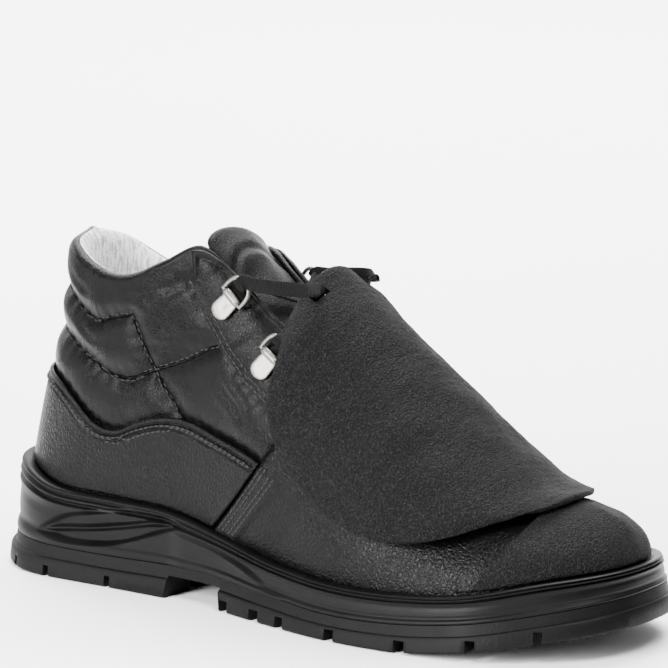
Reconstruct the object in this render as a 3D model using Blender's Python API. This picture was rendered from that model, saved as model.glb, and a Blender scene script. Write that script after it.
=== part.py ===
# Right safety shoe with a metatarsal flap: lugged outsole, cupped midsole, padded ankle upper,
# leather overlays, rough toe cap and shield, tongue, insole, lace and six D rings.
# The last's own frame: x from the heel's back edge to the toe tip, y to the inner side, z up from the floor.
import bmesh
import bpy
import numpy as np
from mathutils import Matrix, Vector
from mathutils.bvhtree import BVHTree

MM = 0.001

# driving sizes
SOLE_LENGTH = 0.312
BALL_WIDTH = 0.115
HEEL_HEIGHT = 0.037
TOE_HEIGHT = 0.0575
COLLAR_HEIGHT = 0.148
HEEL_ROUND = 0.040
TOE_ROUND = 0.056
ROUND_POWER = 2.25

# sole
MIDSOLE_FLARE = 0.0030
RIM_INSET = 0.0060
RIM_WIDTH = 0.0040
RIM_DEPTH = 0.0030
RECESS_DEPTH = 0.0030
SHOULDER_STEP = 0.0015
LUG_DEPTH = 0.0050
LUG_PROUD = 0.0022
CHANNEL_INSET = 0.0210
CHANNEL_WIDTH = 0.0050
CUT_OVERLAP = 0.0011

# walls and clearances
SEAT_GAP = 0.0003
CUP_GAP = 0.0005
PANEL_GAP = 0.0004
RIM_GAP = 0.0006
UPPER_INSET = 0.0105
VAMP_WALL = 0.0026
COLLAR_WALL = 0.0090
PANEL_WALL = 0.0016
CAP_WALL = 0.0020
INSOLE_THICKNESS = 0.0045
INSOLE_CLEARANCE = 0.0010
TONGUE_WALL = 0.0060
TONGUE_GAP = 0.0009
FLAP_WALL = 0.0042
FLAP_FRONT_WALL = 0.0024

# fittings
RING_PLATE_WIDTH = 0.0090
RING_PLATE_BACK = 0.0058
RING_PLATE_THICKNESS = 0.0012
RING_LIFT = 0.0034
RING_BARREL = 0.0034
RING_BARREL_AT = 0.0050
RING_WIRE = 0.0018
RING_WIDTH = 0.0130
RING_REACH = 0.0128
RING_SLOPE = 0.14
LACE_WIDTH = 0.0060
LACE_THICKNESS = 0.0014
LACE_GAP = 0.0007
LACE_LIFT = 0.0024
LACE_BOW = 0.0045
SLOT_HEIGHT = 0.0032
WELD = 0.00001
STATIONS = 48

# colours, roughness and metal of each material
BLACK_RUBBER = ("sole_rubber", (0.020, 0.020, 0.021), 0.55, 0.0)
BLACK_FOAM = ("midsole_foam", (0.022, 0.022, 0.023), 0.50, 0.0)
SMOOTH_LEATHER = ("collar_leather", (0.030, 0.030, 0.029), 0.38, 0.0)
GRAINED_LEATHER = ("grained_leather", (0.028, 0.028, 0.027), 0.42, 0.0)
ROUGH_COVER = ("rough_cover", (0.022, 0.022, 0.022), 0.85, 0.0)
GREY_TEXTILE = ("grey_textile", (0.55, 0.55, 0.54), 0.90, 0.0)
RING_METAL = ("ring_metal", (0.50, 0.50, 0.47), 0.35, 0.9)
LACE_YARN = ("lace_yarn", (0.015, 0.015, 0.016), 0.80, 0.0)


def table(names, rows):
    """The rows' values by column name."""
    return dict(zip(names.split(), np.array(rows, float).T))


def along(rows, column, at):
    """The column's value at a station, on one smooth curve through the table's rows."""
    knots, values = rows["at"], rows[column]
    slopes = np.gradient(values, knots)
    at = np.clip(at, knots[0], knots[-1])
    i = np.clip(np.searchsorted(knots, at) - 1, 0, len(knots) - 2)
    step = knots[i + 1] - knots[i]
    t = (at - knots[i]) / step
    start = values[i] * (1 + 2 * t) * (1 - t) ** 2 + step * slopes[i] * t * (1 - t) ** 2
    end = values[i + 1] * t * t * (3 - 2 * t) + step * slopes[i + 1] * t * t * (t - 1)
    return start + end


# plan of the sole: at is a share of its length, centre and half are shares of half the ball width
FOOTPRINT = table("at centre half", [
    (0.00, 0.000, 0.660),
    (0.12, 0.000, 0.685),
    (0.25, -0.020, 0.675),
    (0.40, -0.080, 0.665),
    (0.52, -0.095, 0.805),
    (0.62, -0.060, 0.945),
    (0.72, -0.015, 1.000),
    (0.82, 0.020, 0.970),
    (0.92, 0.050, 0.880),
    (1.00, 0.060, 0.850),
])

# heights of the tread, outsole's top, footbed and sole's rim, as shares of the heel height
HEIGHTS = table("at tread wrap bed lip", [
    (0.00, 0.080, 0.420, 0.900, 1.320),
    (0.05, 0.015, 0.390, 0.860, 1.230),
    (0.12, 0.000, 0.360, 0.780, 1.055),
    (0.22, 0.000, 0.350, 0.740, 1.005),
    (0.32, 0.000, 0.370, 0.700, 0.970),
    (0.42, 0.000, 0.380, 0.580, 0.805),
    (0.52, 0.000, 0.320, 0.450, 0.660),
    (0.62, 0.000, 0.270, 0.390, 0.595),
    (0.72, 0.000, 0.290, 0.390, 0.600),
    (0.82, 0.080, 0.380, 0.450, 0.680),
    (0.92, 0.240, 0.540, 0.600, 0.860),
    (1.00, 0.350, 0.680, 0.730, 0.960),
])

# side of the midsole: at is a share of its height, in is how far it stands back, in mm
SIDE = table("at in", [
    (0.00, 0.0),
    (0.10, 0.1),
    (0.18, 0.8),
    (0.45, 1.1),
    (0.62, 1.5),
    (0.70, 1.4),
    (0.79, 2.7),
    (0.87, 2.1),
    (0.95, 2.3),
    (1.00, 3.2),
])

# recess in the heel's side: at is a share of the sole's length, middle and half of the heel height
RECESS = table("at middle half", [
    (0.095, 0.500, 0.000),
    (0.125, 0.555, 0.120),
    (0.190, 0.625, 0.200),
    (0.250, 0.715, 0.200),
    (0.300, 0.800, 0.140),
    (0.360, 0.840, 0.000),
])

# shoulder line of the waist, under which the side stands proud
SHOULDER = table("at z", [
    (0.33, 0.80),
    (0.38, 0.73),
    (0.43, 0.66),
    (0.48, 0.55),
    (0.52, 0.42),
    (0.56, 0.30),
])

# the upper's sections: at is the share of the half turn from heel to toe. x and y place the top end as shares of
# the sole's length and half the ball width, up is its share of the way from toe height to collar height, and inner
# is the same on the inner side. rise and reach are the shares of the section's span that its two ends run straight
# for, lean and tilt their slopes in degrees from upright, and pitch the slope of the ridge that the two sides share.
SECTIONS = table("at x y up inner rise lean reach tilt pitch", [
    (0.00, 0.104, 0.000, 0.976, 0.976, 0.30, -16, 0.31, 2, 0.00),
    (0.10, 0.128, 0.365, 0.937, 0.905, 0.30, -10, 0.31, 1, 0.00),
    (0.20, 0.190, 0.540, 0.854, 0.778, 0.32, -4, 0.31, 0, 0.00),
    (0.30, 0.256, 0.590, 0.833, 0.735, 0.31, 0, 0.30, 2, 0.00),
    (0.38, 0.322, 0.556, 0.917, 0.860, 0.30, 3, 0.32, 8, 0.00),
    (0.43, 0.370, 0.435, 0.995, 0.930, 0.27, 4, 0.33, 14, 0.00),
    (0.48, 0.418, 0.330, 0.869, 0.845, 0.28, 4, 0.30, 32, 0.00),
    (0.54, 0.480, 0.280, 0.668, 0.668, 0.27, 4, 0.28, 50, -0.20),
    (0.60, 0.556, 0.226, 0.455, 0.455, 0.27, 4, 0.30, 68, -0.40),
    (0.66, 0.628, 0.090, 0.292, 0.292, 0.25, 4, 0.31, 82, -0.52),
    (0.72, 0.712, 0.000, 0.118, 0.118, 0.26, 3, 0.35, 90, -0.46),
    (0.80, 0.788, 0.000, 0.004, 0.004, 0.30, 2, 0.45, 90, -0.22),
    (0.90, 0.820, 0.000, -0.018, -0.018, 0.32, 2, 0.51, 90, -0.12),
    (1.00, 0.827, 0.000, -0.020, -0.020, 0.39, 2, 0.60, 90, -0.10),
])

# wall of the upper: at is as in SECTIONS, pad is the collar padding's share of its full depth
PADDING = table("at pad", [
    (0.00, 1.00),
    (0.30, 1.00),
    (0.38, 0.75),
    (0.43, 0.25),
    (0.48, 0.00),
    (1.00, 0.00),
])

# waved top edge of the heel quarter in side view: at is a share of the sole's length, z of the collar height
WAVE = table("at z", [
    (0.000, 0.612),
    (0.087, 0.585),
    (0.126, 0.560),
    (0.154, 0.525),
    (0.193, 0.462),
    (0.230, 0.449),
    (0.275, 0.485),
    (0.309, 0.504),
    (0.352, 0.506),
    (0.409, 0.477),
    (0.464, 0.445),
    (0.520, 0.400),
    (0.600, 0.350),
])
# the quarter's front end, as shares of the half turn from its foot up to its top
QUARTER_FRONT = table("at share", [(0.0, 0.430), (0.5, 0.464), (1.0, 0.497)])

# back edge of the eyestays in side view, and the toe cap's rear edge by height
EYESTAY_BACK = table("at z", [
    (0.330, 1.000),
    (0.361, 0.888),
    (0.381, 0.814),
    (0.406, 0.739),
    (0.436, 0.672),
    (0.471, 0.613),
    (0.520, 0.545),
    (0.600, 0.460),
    (0.660, 0.410),
])
EYESTAY_TOP, EYESTAY_END = 0.418, 0.645
CAP_REAR = table("at x", [(0.00, 0.805), (0.16, 0.817), (0.28, 0.850), (0.36, 0.862), (0.41, 0.850)])
CAP_CORNER = 0.722

# D rings down each eyestay: at counts them from the top, share and v place each plate's middle on the skin
RINGS = table("at share v", [(1, 0.459, 0.828), (2, 0.511, 0.722), (3, 0.572, 0.700)])
RING_TURN = 5

# tongue: the shares of the half turn at its two ends, the share of its width that lies in the throat, how far its
# sides reach under the eyestays, and how high it bulges
TONGUE_BASE, TONGUE_TOP = 0.655, 0.435
TONGUE_OPEN, TONGUE_TUCK = 0.55, 0.18
TONGUE_BULGE = table("at handle", [(0.0, 0.60), (0.5, 0.70), (1.0, 0.33)])

# the flap's outer face: at runs up the instep. x and z place its ridge, by the sole's length and the collar height,
# and its side edges likewise, with edge_y by half the ball width. wrap is how far round a quarter circle its sides bend.
FLAP = table("at x z edge_x edge_y edge_z wrap", [
    (0.00, 0.892, 0.398, 0.842, 0.490, 0.351, 0.80),
    (0.06, 0.868, 0.406, 0.820, 0.610, 0.334, 0.85),
    (0.14, 0.840, 0.424, 0.786, 0.745, 0.306, 0.90),
    (0.24, 0.800, 0.478, 0.742, 0.845, 0.286, 0.92),
    (0.36, 0.747, 0.570, 0.684, 0.882, 0.288, 0.94),
    (0.48, 0.703, 0.651, 0.627, 0.870, 0.323, 0.96),
    (0.60, 0.659, 0.730, 0.573, 0.810, 0.395, 0.98),
    (0.71, 0.620, 0.798, 0.531, 0.765, 0.498, 0.98),
    (0.80, 0.590, 0.850, 0.516, 0.740, 0.611, 0.98),
    (0.88, 0.565, 0.892, 0.520, 0.665, 0.709, 0.95),
    (0.94, 0.548, 0.922, 0.516, 0.515, 0.791, 0.90),
    (1.00, 0.530, 0.955, 0.520, 0.330, 0.880, 0.75),
])
SLOT_UP, SLOT_ACROSS = 0.930, 0.200


def outline(turn, inset=0.0):
    """Plan points and stations of the sole's outline, moved in by inset. Turn is 0 at the heel and pi at the toe."""
    x = inset + (SOLE_LENGTH - 2 * inset) * (1 - np.cos(turn)) / 2
    station = x / SOLE_LENGTH
    back = np.clip(1 - (x - inset) / HEEL_ROUND, 0, 1)
    front = np.clip(1 - (SOLE_LENGTH - inset - x) / TOE_ROUND, 0, 1)
    ends = (1 - back**ROUND_POWER) * (1 - front**ROUND_POWER)
    half = (along(FOOTPRINT, "half", station) * BALL_WIDTH / 2 - inset) * ends ** (1 / ROUND_POWER)
    centre = along(FOOTPRINT, "centre", station) * BALL_WIDTH / 2
    return x, centre - np.sign(np.sin(turn)) * half, station


def height(column, station):
    return np.maximum(along(HEIGHTS, column, station), 0) * HEEL_HEIGHT


def on_outline(turn, inset, column, above=0.0):
    """Points on the outline at a height from HEIGHTS."""
    x, y, station = outline(turn, inset)
    return np.stack([x, y, height(column, station) + above], -1)


def skin(turn, v):
    """Points of the upper's skin: v is 0 at the sole's rim, 1 at the section's top end and -1 on the footbed."""
    turn, v = np.broadcast_arrays(np.asarray(turn, float), np.asarray(v, float))
    share = np.abs((turn + np.pi) % (2 * np.pi) - np.pi) / np.pi
    side = -np.sign(np.sin(turn))
    x, y, station = outline(turn, UPPER_INSET)
    nudge = 0.001
    x_before, y_before, _ = outline(turn - nudge, UPPER_INSET)
    x_after, y_after, _ = outline(turn + nudge, UPPER_INSET)
    step = np.hypot(x_after - x_before, y_after - y_before)
    out_x, out_y = (y_after - y_before) / step, -(x_after - x_before) / step
    start = np.stack([x, y, height("lip", station) - RIM_DEPTH], -1)
    foot = start[..., 2] - height("bed", station) - SEAT_GAP

    end_x = along(SECTIONS, "x", share) * SOLE_LENGTH
    end_y = along(FOOTPRINT, "centre", end_x / SOLE_LENGTH) + side * along(SECTIONS, "y", share)
    up = np.where(side > 0, along(SECTIONS, "inner", share), along(SECTIONS, "up", share))
    end = np.stack([end_x, end_y * BALL_WIDTH / 2, TOE_HEIGHT + up * (COLLAR_HEIGHT - TOE_HEIGHT)], -1)

    span = np.linalg.norm(end - start, axis=-1)
    lean, tilt = np.radians(along(SECTIONS, "lean", share)), np.radians(along(SECTIONS, "tilt", share))
    away = start[..., :2] - end[..., :2]
    away = away / (np.linalg.norm(away, axis=-1, keepdims=True) + 1e-9) * np.sin(tilt)[..., None]
    rise = np.stack([out_x * np.sin(lean), out_y * np.sin(lean), np.cos(lean)], -1)
    drop = -np.cos(tilt) + along(SECTIONS, "pitch", share) * away[..., 0]
    reach = np.concatenate([away, drop[..., None]], -1)
    one = start + rise * (along(SECTIONS, "rise", share) * span)[..., None]
    two = end + reach * (along(SECTIONS, "reach", share) * span)[..., None]

    t = np.clip(v, 0, 1)[..., None]
    points = (1 - t) ** 3 * start + 3 * t * (1 - t) ** 2 * one + 3 * t * t * (1 - t) * two + t**3 * end
    points[..., 2] += np.minimum(v, 0) * foot
    return points


def where(turn, test):
    """The v at which test(point) changes from positive to negative along each section."""
    low, high = np.zeros_like(turn), np.ones_like(turn)
    for _ in range(24):
        middle = (low + high) / 2
        positive = test(skin(turn, middle)) > 0
        low, high = np.where(positive, middle, low), np.where(positive, high, middle)
    return (low + high) / 2


def above_rim(turn):
    """The v at which overlays begin, just clear of the sole's rim."""
    rim = skin(turn, np.zeros_like(turn))[..., 2] + RIM_DEPTH + RIM_GAP
    return where(turn, lambda p: rim - p[..., 2])


def below_line(rows):
    """A test that is positive under a line drawn in side view."""
    return lambda p: along(rows, "z", p[..., 0] / SOLE_LENGTH) * COLLAR_HEIGHT - p[..., 2]


def ahead_of_cap(p):
    return p[..., 0] - along(CAP_REAR, "x", p[..., 2] / COLLAR_HEIGHT) * SOLE_LENGTH


def wall(turn, v):
    """Thickness of the upper's wall, with the collar's padding."""
    share = np.abs((turn + np.pi) % (2 * np.pi) - np.pi) / np.pi
    pad = along(PADDING, "pad", share) * np.clip((v - 0.30) / 0.25, 0, 1)
    return VAMP_WALL + pad * (1 - 0.35 * np.clip((v - 0.85) / 0.15, 0, 1)) * (COLLAR_WALL - VAMP_WALL)


def under_skin(turn, v, depth):
    """Points that far in from the skin, along its normal."""
    nudge = 0.002
    around = skin(turn + nudge, v) - skin(turn - nudge, v)
    up = skin(turn, v) - skin(turn, v - nudge)
    normal = np.cross(around, up)
    normal = normal / (np.linalg.norm(normal, axis=-1, keepdims=True) + 1e-12)
    return skin(turn, v) - normal * np.broadcast_to(depth, turn.shape)[..., None]


def tongue(u, w):
    """Points of the tongue's top: u runs from its outer edge to its inner edge, w from the vamp to its top edge."""
    share = TONGUE_BASE + (TONGUE_TOP - TONGUE_BASE) * w
    across = 2 * u - 1
    turn = np.where(across < 0, 1, -1) * share * np.pi
    tucked = np.clip((np.abs(across) - TONGUE_OPEN) / (1 - TONGUE_OPEN), 0, 1)
    v = 1 - tucked * TONGUE_TUCK
    points = under_skin(turn, v, wall(turn, v) + TONGUE_GAP)
    one = np.ones_like(u)
    outer, inner = (under_skin(side * share * np.pi, one, wall(turn, one) + TONGUE_GAP) for side in (1, -1))
    gap = np.linalg.norm(inner - outer, axis=-1) * along(TONGUE_BULGE, "handle", w)
    handles = []
    for side, start in ((1, outer), (-1, inner)):
        up = skin(side * share * np.pi, one) - skin(side * share * np.pi, 0.98 * one)
        handles.append(start + up * (gap / np.linalg.norm(up, axis=-1))[..., None])
    t = np.clip((across / TONGUE_OPEN + 1) / 2, 0, 1)[..., None]
    bridge = (1 - t) ** 3 * outer + 3 * t * (1 - t) ** 2 * handles[0] + 3 * t * t * (1 - t) * handles[1] + t**3 * inner
    return np.where(tucked[..., None] > 0, points, bridge)


def flap(u, w):
    """Points of the flap's outer face: u runs across it, w up its ridge."""
    rows, p, q = FLAP, w, 2 * u - 1
    full = along(rows, "wrap", p) * np.pi / 2
    across = np.sin(np.abs(q) * full) / np.sin(full) * np.sign(q)
    down = (1 - np.cos(np.abs(q) * full)) / (1 - np.cos(full))
    x, z = along(rows, "x", p), along(rows, "z", p)
    edge_x, edge_z = along(rows, "edge_x", p), along(rows, "edge_z", p)
    x = (x + (edge_x - x) * down) * SOLE_LENGTH
    y = (along(FOOTPRINT, "centre", x / SOLE_LENGTH) + along(rows, "edge_y", p) * across) * BALL_WIDTH / 2
    return np.stack([x, y, (z + (edge_z - z) * down) * COLLAR_HEIGHT], -1)


def material(kind):
    name, colour, roughness, metallic = kind
    made = bpy.data.materials.get(name) or bpy.data.materials.new(name)
    made.use_nodes = True
    shader = made.node_tree.nodes["Principled BSDF"]
    shader.inputs["Base Color"].default_value = (*colour, 1)
    shader.inputs["Roughness"].default_value = roughness
    shader.inputs["Metallic"].default_value = metallic
    return made


def add_object(name, bm, kind):
    """The bmesh as an object of that material, on the shoe's empty, shaded smooth up to sharp folds."""
    mesh = bpy.data.meshes.new(name)
    bm.to_mesh(mesh)
    bm.free()
    mesh.materials.append(material(kind))
    mesh.shade_smooth()
    mesh.set_sharp_from_angle(angle=np.radians(40))
    made = bpy.data.objects.new(name, mesh)
    bpy.context.collection.objects.link(made)
    made.parent = SHOE
    return made


def grid(columns, rows, place, spacing=None):
    """A bmesh grid with each vertex where place(u, w) says. u and w run from 0 to 1, w by the spacing's shares."""
    bm = bmesh.new()
    bmesh.ops.create_grid(bm, x_segments=columns, y_segments=rows, size=0.5)
    flat = np.array([vert.co for vert in bm.verts]) + 0.5
    w = flat[:, 1] if spacing is None else np.interp(flat[:, 1] * rows, range(rows + 1), spacing)
    for vert, point in zip(bm.verts, place(flat[:, 0], w)):
        vert.co = point
    bmesh.ops.remove_doubles(bm, verts=bm.verts, dist=WELD)
    return bm


def lift(bm, amount):
    """Moves each vertex out along its own normal."""
    bm.normal_update()
    for vert, normal in [(vert, vert.normal.copy()) for vert in bm.verts]:
        vert.co += normal * amount


def thicken(made, thickness, outwards):
    solid = made.modifiers.new("wall", "SOLIDIFY")
    solid.thickness = thickness
    solid.offset = 1 if outwards else -1
    solid.use_even_offset = True
    return solid


def combine(made, other, operation):
    """Joins another object into this one, or cuts it away, and hides it."""
    cut = made.modifiers.new(other.name, "BOOLEAN")
    cut.operation = operation
    cut.object = other
    cut.solver = "EXACT"
    cut.use_self = False
    other.hide_render = True
    other.display_type = "WIRE"


def loft(profile, stations):
    """A closed body through sections across the shoe: profile(turn) gives one side's points from bottom to top."""
    count = len(profile(np.array([0.5])))

    def place(u, w):
        ring = np.rint(w * 2 * count).astype(int) % (2 * count)
        outer = ring < count
        row = np.where(outer, ring, 2 * count - 1 - ring)
        turn = np.where(outer, 1, -1) * u * np.pi
        return np.stack(profile(turn), 0)[row, np.arange(len(u))]

    return grid(stations, 2 * count, place)


def side_relief(x, z):
    """How far the midsole's side is pressed in at this point of the side view."""
    station = x / SOLE_LENGTH
    middle, half = along(RECESS, "middle", station), np.maximum(along(RECESS, "half", station), 0)
    off = np.abs(z / HEEL_HEIGHT - middle)
    floor = np.clip((half - off) / 0.05, 0, 1) * (station > RECESS["at"][0]) * (station < RECESS["at"][-1])
    rib = np.clip(1 - off / 0.045, 0, 1) * 0.6
    under = np.clip((along(SHOULDER, "z", station) - z / HEEL_HEIGHT) / 0.05, 0, 1)
    waist = np.clip((station - 0.33) / 0.03, 0, 1) * np.clip((0.56 - station) / 0.03, 0, 1)
    return floor * (1 - rib) * RECESS_DEPTH - under * waist * SHOULDER_STEP


def midsole_side(turn, share):
    """A point of the midsole's side: share is 0 on the outsole and 1 at the rim."""
    inset = MIDSOLE_FLARE + along(SIDE, "in", share) * MM
    x, _, station = outline(turn, inset)
    low, high = height("wrap", station) + SEAT_GAP, height("lip", station)
    z = low + (high - low) * share
    x, y, _ = outline(turn, inset + side_relief(x, z))
    return np.stack([x, y, z], -1)


def midsole_profile(turn):
    """Underside, side, rim and the cup that holds the upper."""
    inner = UPPER_INSET - CUP_GAP
    under = [on_outline(turn, CHANNEL_INSET, "wrap", SEAT_GAP)]
    side = [midsole_side(turn, share) for share in (0, 0.10, 0.18, 0.32, 0.45, 0.62, 0.70, 0.79, 0.87, 0.95)]
    rim = [on_outline(turn, RIM_INSET + 0.3 * RIM_WIDTH, "lip"), on_outline(turn, inner, "lip", -0.15 * RIM_DEPTH)]
    cup = [on_outline(turn, inner, "bed"), on_outline(turn, CHANNEL_INSET, "bed")]
    return under + side + rim + cup


def make_midsole():
    return add_object("midsole", loft(midsole_profile, STATIONS), BLACK_FOAM)


def outsole_profile(turn):
    """Tread, lug band that stands proud, and the wall that meets the midsole."""
    _, _, station = outline(turn)
    band = 0.62 * (height("wrap", station) - height("tread", station))
    return [
        on_outline(turn, CHANNEL_INSET / 2, "tread"),
        on_outline(turn, 0.0012, "tread"),
        on_outline(turn, 0, "tread", 0.0012),
        on_outline(turn, 0.0006, "tread", band - 0.0012),
        on_outline(turn, LUG_PROUD, "tread", band),
        on_outline(turn, MIDSOLE_FLARE, "wrap"),
        on_outline(turn, CHANNEL_INSET, "wrap"),
    ]


# grooves between the side lugs: station, and width in mm
GROOVES = [
    (0.058, 2.4), (0.125, 2.8), (0.232, 2.8), (0.440, 5.0), (0.500, 5.5), (0.548, 4.5), (0.636, 4.6), (0.742, 4.6),
    (0.838, 4.0), (0.915, 3.4),
]
CENTRE_GROOVES = [(0.106, 3.5), (0.200, 3.5), (0.470, 4.0), (0.550, 4.0), (0.630, 4.0), (0.710, 4.0), (0.790, 4.0), (0.870, 4.0)]
ARCH_BACK, ARCH_FRONT, ARCH_RISE = 0.335, 0.428, 0.26


def add_block(bm, centre, size, heading=0.0):
    placed = Matrix.Translation(centre) @ Matrix.Rotation(heading, 4, "Z") @ Matrix.Diagonal((*size, 1))
    bmesh.ops.create_cube(bm, size=1, matrix=placed)


def side_cutter():
    """Blocks that part the side lugs, each square to the edge."""
    bm = bmesh.new()
    for station, width in GROOVES:
        for side in (1, -1):
            turn = side * np.arccos(1 - 2 * station)
            (x0, x1), (y0, y1), _ = outline(np.array([turn - 0.01, turn + 0.01]))
            z = height("tread", station)
            length = CHANNEL_INSET + 2 * LUG_PROUD + CUT_OVERLAP
            outward = Vector((y1 - y0, x0 - x1, 0)).normalized()
            centre = Vector(((x0 + x1) / 2, (y0 + y1) / 2, z)) - outward * (length / 2 - 2 * LUG_PROUD)
            add_block(bm, centre, (length, width * MM, 2 * LUG_DEPTH), np.arctan2(outward.y, outward.x))
    return bm


def centre_cutter():
    """Blocks that part the lugs across the middle."""
    bm = bmesh.new()
    inset = CHANNEL_INSET - CUT_OVERLAP
    for station, width in CENTRE_GROOVES:
        x = station * SOLE_LENGTH
        turn = np.arccos(1 - 2 * (x - inset) / (SOLE_LENGTH - 2 * inset))
        low, high = outline(turn, inset)[1], outline(-turn, inset)[1]
        place = Vector((x, (low + high) / 2, height("tread", station)))
        add_block(bm, place, (width * MM, high - low, 1.9 * LUG_DEPTH))
    return bm


def arch_cutter():
    """The hollow under the waist, from side to side, with sloped ends."""
    bm = bmesh.new()
    back, front = ARCH_BACK * SOLE_LENGTH, ARCH_FRONT * SOLE_LENGTH
    add_block(bm, Vector(((back + front) / 2, 0, 0)), (front - back, 2 * BALL_WIDTH, 2 * ARCH_RISE * HEEL_HEIGHT))
    slope = 0.3 * ARCH_RISE * HEEL_HEIGHT
    for vert in bm.verts:
        if vert.co.z < 0:
            vert.co.x += slope if vert.co.x > (back + front) / 2 else -slope
    return bm


def channel_cutter():
    """The groove that follows the outline between the side lugs and the middle blocks."""
    corners = [(-0.5, -1), (0.5, -1), (0.5, 1), (-0.5, 1)]

    def place(u, w):
        corner = np.array(corners)[np.rint(w * 4).astype(int) % 4]
        inset = CHANNEL_INSET + corner[:, 0] * CHANNEL_WIDTH
        x, y, station = outline(u * 2 * np.pi, inset)
        return np.stack([x, y, height("tread", station) + corner[:, 1] * 0.8 * LUG_DEPTH], -1)

    bm = grid(64, 4, place)
    bmesh.ops.recalc_face_normals(bm, faces=bm.faces)
    return bm


def make_outsole():
    outsole = add_object("outsole", loft(outsole_profile, STATIONS), BLACK_RUBBER)
    cutters = {"arch": arch_cutter, "side": side_cutter, "centre": centre_cutter, "channel": channel_cutter}
    for name, cutter in cutters.items():
        combine(outsole, add_object(name + "_cuts", cutter(), BLACK_RUBBER), "DIFFERENCE")
    return outsole


def make_insole():
    inset = UPPER_INSET + VAMP_WALL + INSOLE_CLEARANCE

    def profile(turn):
        return [
            on_outline(turn, CHANNEL_INSET, "bed", SEAT_GAP),
            on_outline(turn, inset + 0.001, "bed", SEAT_GAP),
            on_outline(turn, inset, "bed", SEAT_GAP + 0.4 * INSOLE_THICKNESS),
            on_outline(turn, inset + 0.001, "bed", SEAT_GAP + INSOLE_THICKNESS),
            on_outline(turn, CHANNEL_INSET, "bed", 0.8 * INSOLE_THICKNESS),
        ]

    return add_object("insole", loft(profile, STATIONS // 2), GREY_TEXTILE)


UPPER_COLUMNS = 60
UPPER_ROWS = (-1, 0, 0.10, 0.25, 0.40, 0.55, 0.70, 0.83, 0.93, 1)


def make_upper():
    """Vamp, quarters and padded collar in one wall, thicker in the collar, and open at the throat and underneath."""
    bm = grid(UPPER_COLUMNS, len(UPPER_ROWS) - 1, lambda u, w: skin(u * 2 * np.pi, w), UPPER_ROWS)
    turns, rows = np.meshgrid(np.linspace(0, 2 * np.pi, UPPER_COLUMNS + 1), UPPER_ROWS, indexing="ij")
    places, shares = skin(turns, rows).reshape(-1, 3), (wall(turns, rows) / COLLAR_WALL).ravel()
    upper = add_object("upper", bm, SMOOTH_LEATHER)
    group = upper.vertex_groups.new(name="wall")
    for vert in upper.data.vertices:
        nearest = np.argmin(((places - np.array(vert.co)) ** 2).sum(1))
        group.add([vert.index], shares[nearest], "REPLACE")
    thicken(upper, COLLAR_WALL, False).vertex_group = "wall"
    return upper


def panel(name, columns, rows, place, kind, thickness=PANEL_WALL):
    """A leather overlay: a sheet of the skin, lifted clear of it and given its thickness."""
    bm = grid(columns, rows, place)
    lift(bm, PANEL_GAP)
    made = add_object(name, bm, kind)
    thicken(made, thickness, True)
    return made


def make_quarter():
    def place(u, w):
        turn = (2 * u - 1) * along(QUARTER_FRONT, "share", w) * np.pi
        bottom, top = above_rim(turn), where(turn, below_line(WAVE))
        return skin(turn, bottom + (top - bottom) * w)

    return panel("heel_quarter", 40, 4, place, GRAINED_LEATHER)


def make_eyestay(name, side):
    def place(u, w):
        share = EYESTAY_TOP + (EYESTAY_END - EYESTAY_TOP) * (u if side > 0 else 1 - u)
        turn = side * share * np.pi
        back = where(turn, below_line(EYESTAY_BACK))
        return skin(turn, back + (0.985 - back) * w)

    return panel(name, 14, 4, place, SMOOTH_LEATHER)


def make_toe_cap():
    def place(u, w):
        turn = (CAP_CORNER + 2 * (1 - CAP_CORNER) * u) * np.pi
        bottom = above_rim(turn)
        rear = np.maximum(where(turn, ahead_of_cap), bottom + 0.01)
        return skin(turn, bottom + (rear - bottom) * w)

    return panel("toe_cap", 28, 6, place, ROUGH_COVER, CAP_WALL)


def make_flap():
    """The stiff shield over the instep, thinner where it is sewn over the toe cap, with a slot on each side."""
    bm = grid(16, 20, flap)
    made = add_object("metatarsal_flap", bm, ROUGH_COVER)
    group = made.vertex_groups.new(name="wall")
    heights = np.linspace(0, 1, 21)
    ridge = flap(np.full(21, 0.5), heights)
    for vert in made.data.vertices:
        up = heights[np.argmin(np.abs(ridge - np.array(vert.co)).sum(1))]
        wall_there = FLAP_FRONT_WALL + (FLAP_WALL - FLAP_FRONT_WALL) * min(up / 0.3, 1)
        group.add([vert.index], wall_there / FLAP_WALL, "REPLACE")
    thicken(made, FLAP_WALL, False).vertex_group = "wall"
    cuts = bmesh.new()
    size = Matrix.Diagonal((LACE_WIDTH + 4 * LACE_GAP, SLOT_HEIGHT, 3 * FLAP_WALL, 1))
    for side in (1, -1):
        bmesh.ops.create_cube(cuts, size=1, matrix=slot_frame(side) @ size)
    combine(made, add_object("slot_cuts", cuts, ROUGH_COVER), "DIFFERENCE")
    return made


def frame_at(place, x, z):
    """A matrix at a place, with its x direction kept and z made square to it."""
    x, z = Vector(x).normalized(), Vector(z)
    z = (z - x * z.dot(x)).normalized()
    frame = Matrix((x, z.cross(x), z)).transposed().to_4x4()
    frame.translation = Vector(place)
    return frame


def ring_frames(side):
    """Frames of one side's rings from the top down: x down the eyestay or back up it, y to the throat, z outwards."""
    turn, v = side * RINGS["share"] * np.pi, RINGS["v"]
    places = skin(turn, v)
    out = places - under_skin(turn, v, 0.01)
    turned = Matrix.Rotation(np.radians(side * RING_TURN), 4, "Z")
    return [frame_at(*values) @ turned for values in zip(places, side * np.gradient(places, axis=0), out)]


def slot_frame(side):
    """Frame of one of the flap's slots: x along the slot, z out of the flap."""
    u, w, nudge = np.array(0.5 - side * SLOT_ACROSS), np.array(SLOT_UP), 0.01
    along_slot = flap(u + nudge, w) - flap(u - nudge, w)
    up = flap(u, w + nudge) - flap(u, w - nudge)
    return frame_at(flap(u, w), along_slot, np.cross(along_slot, up))


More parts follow.
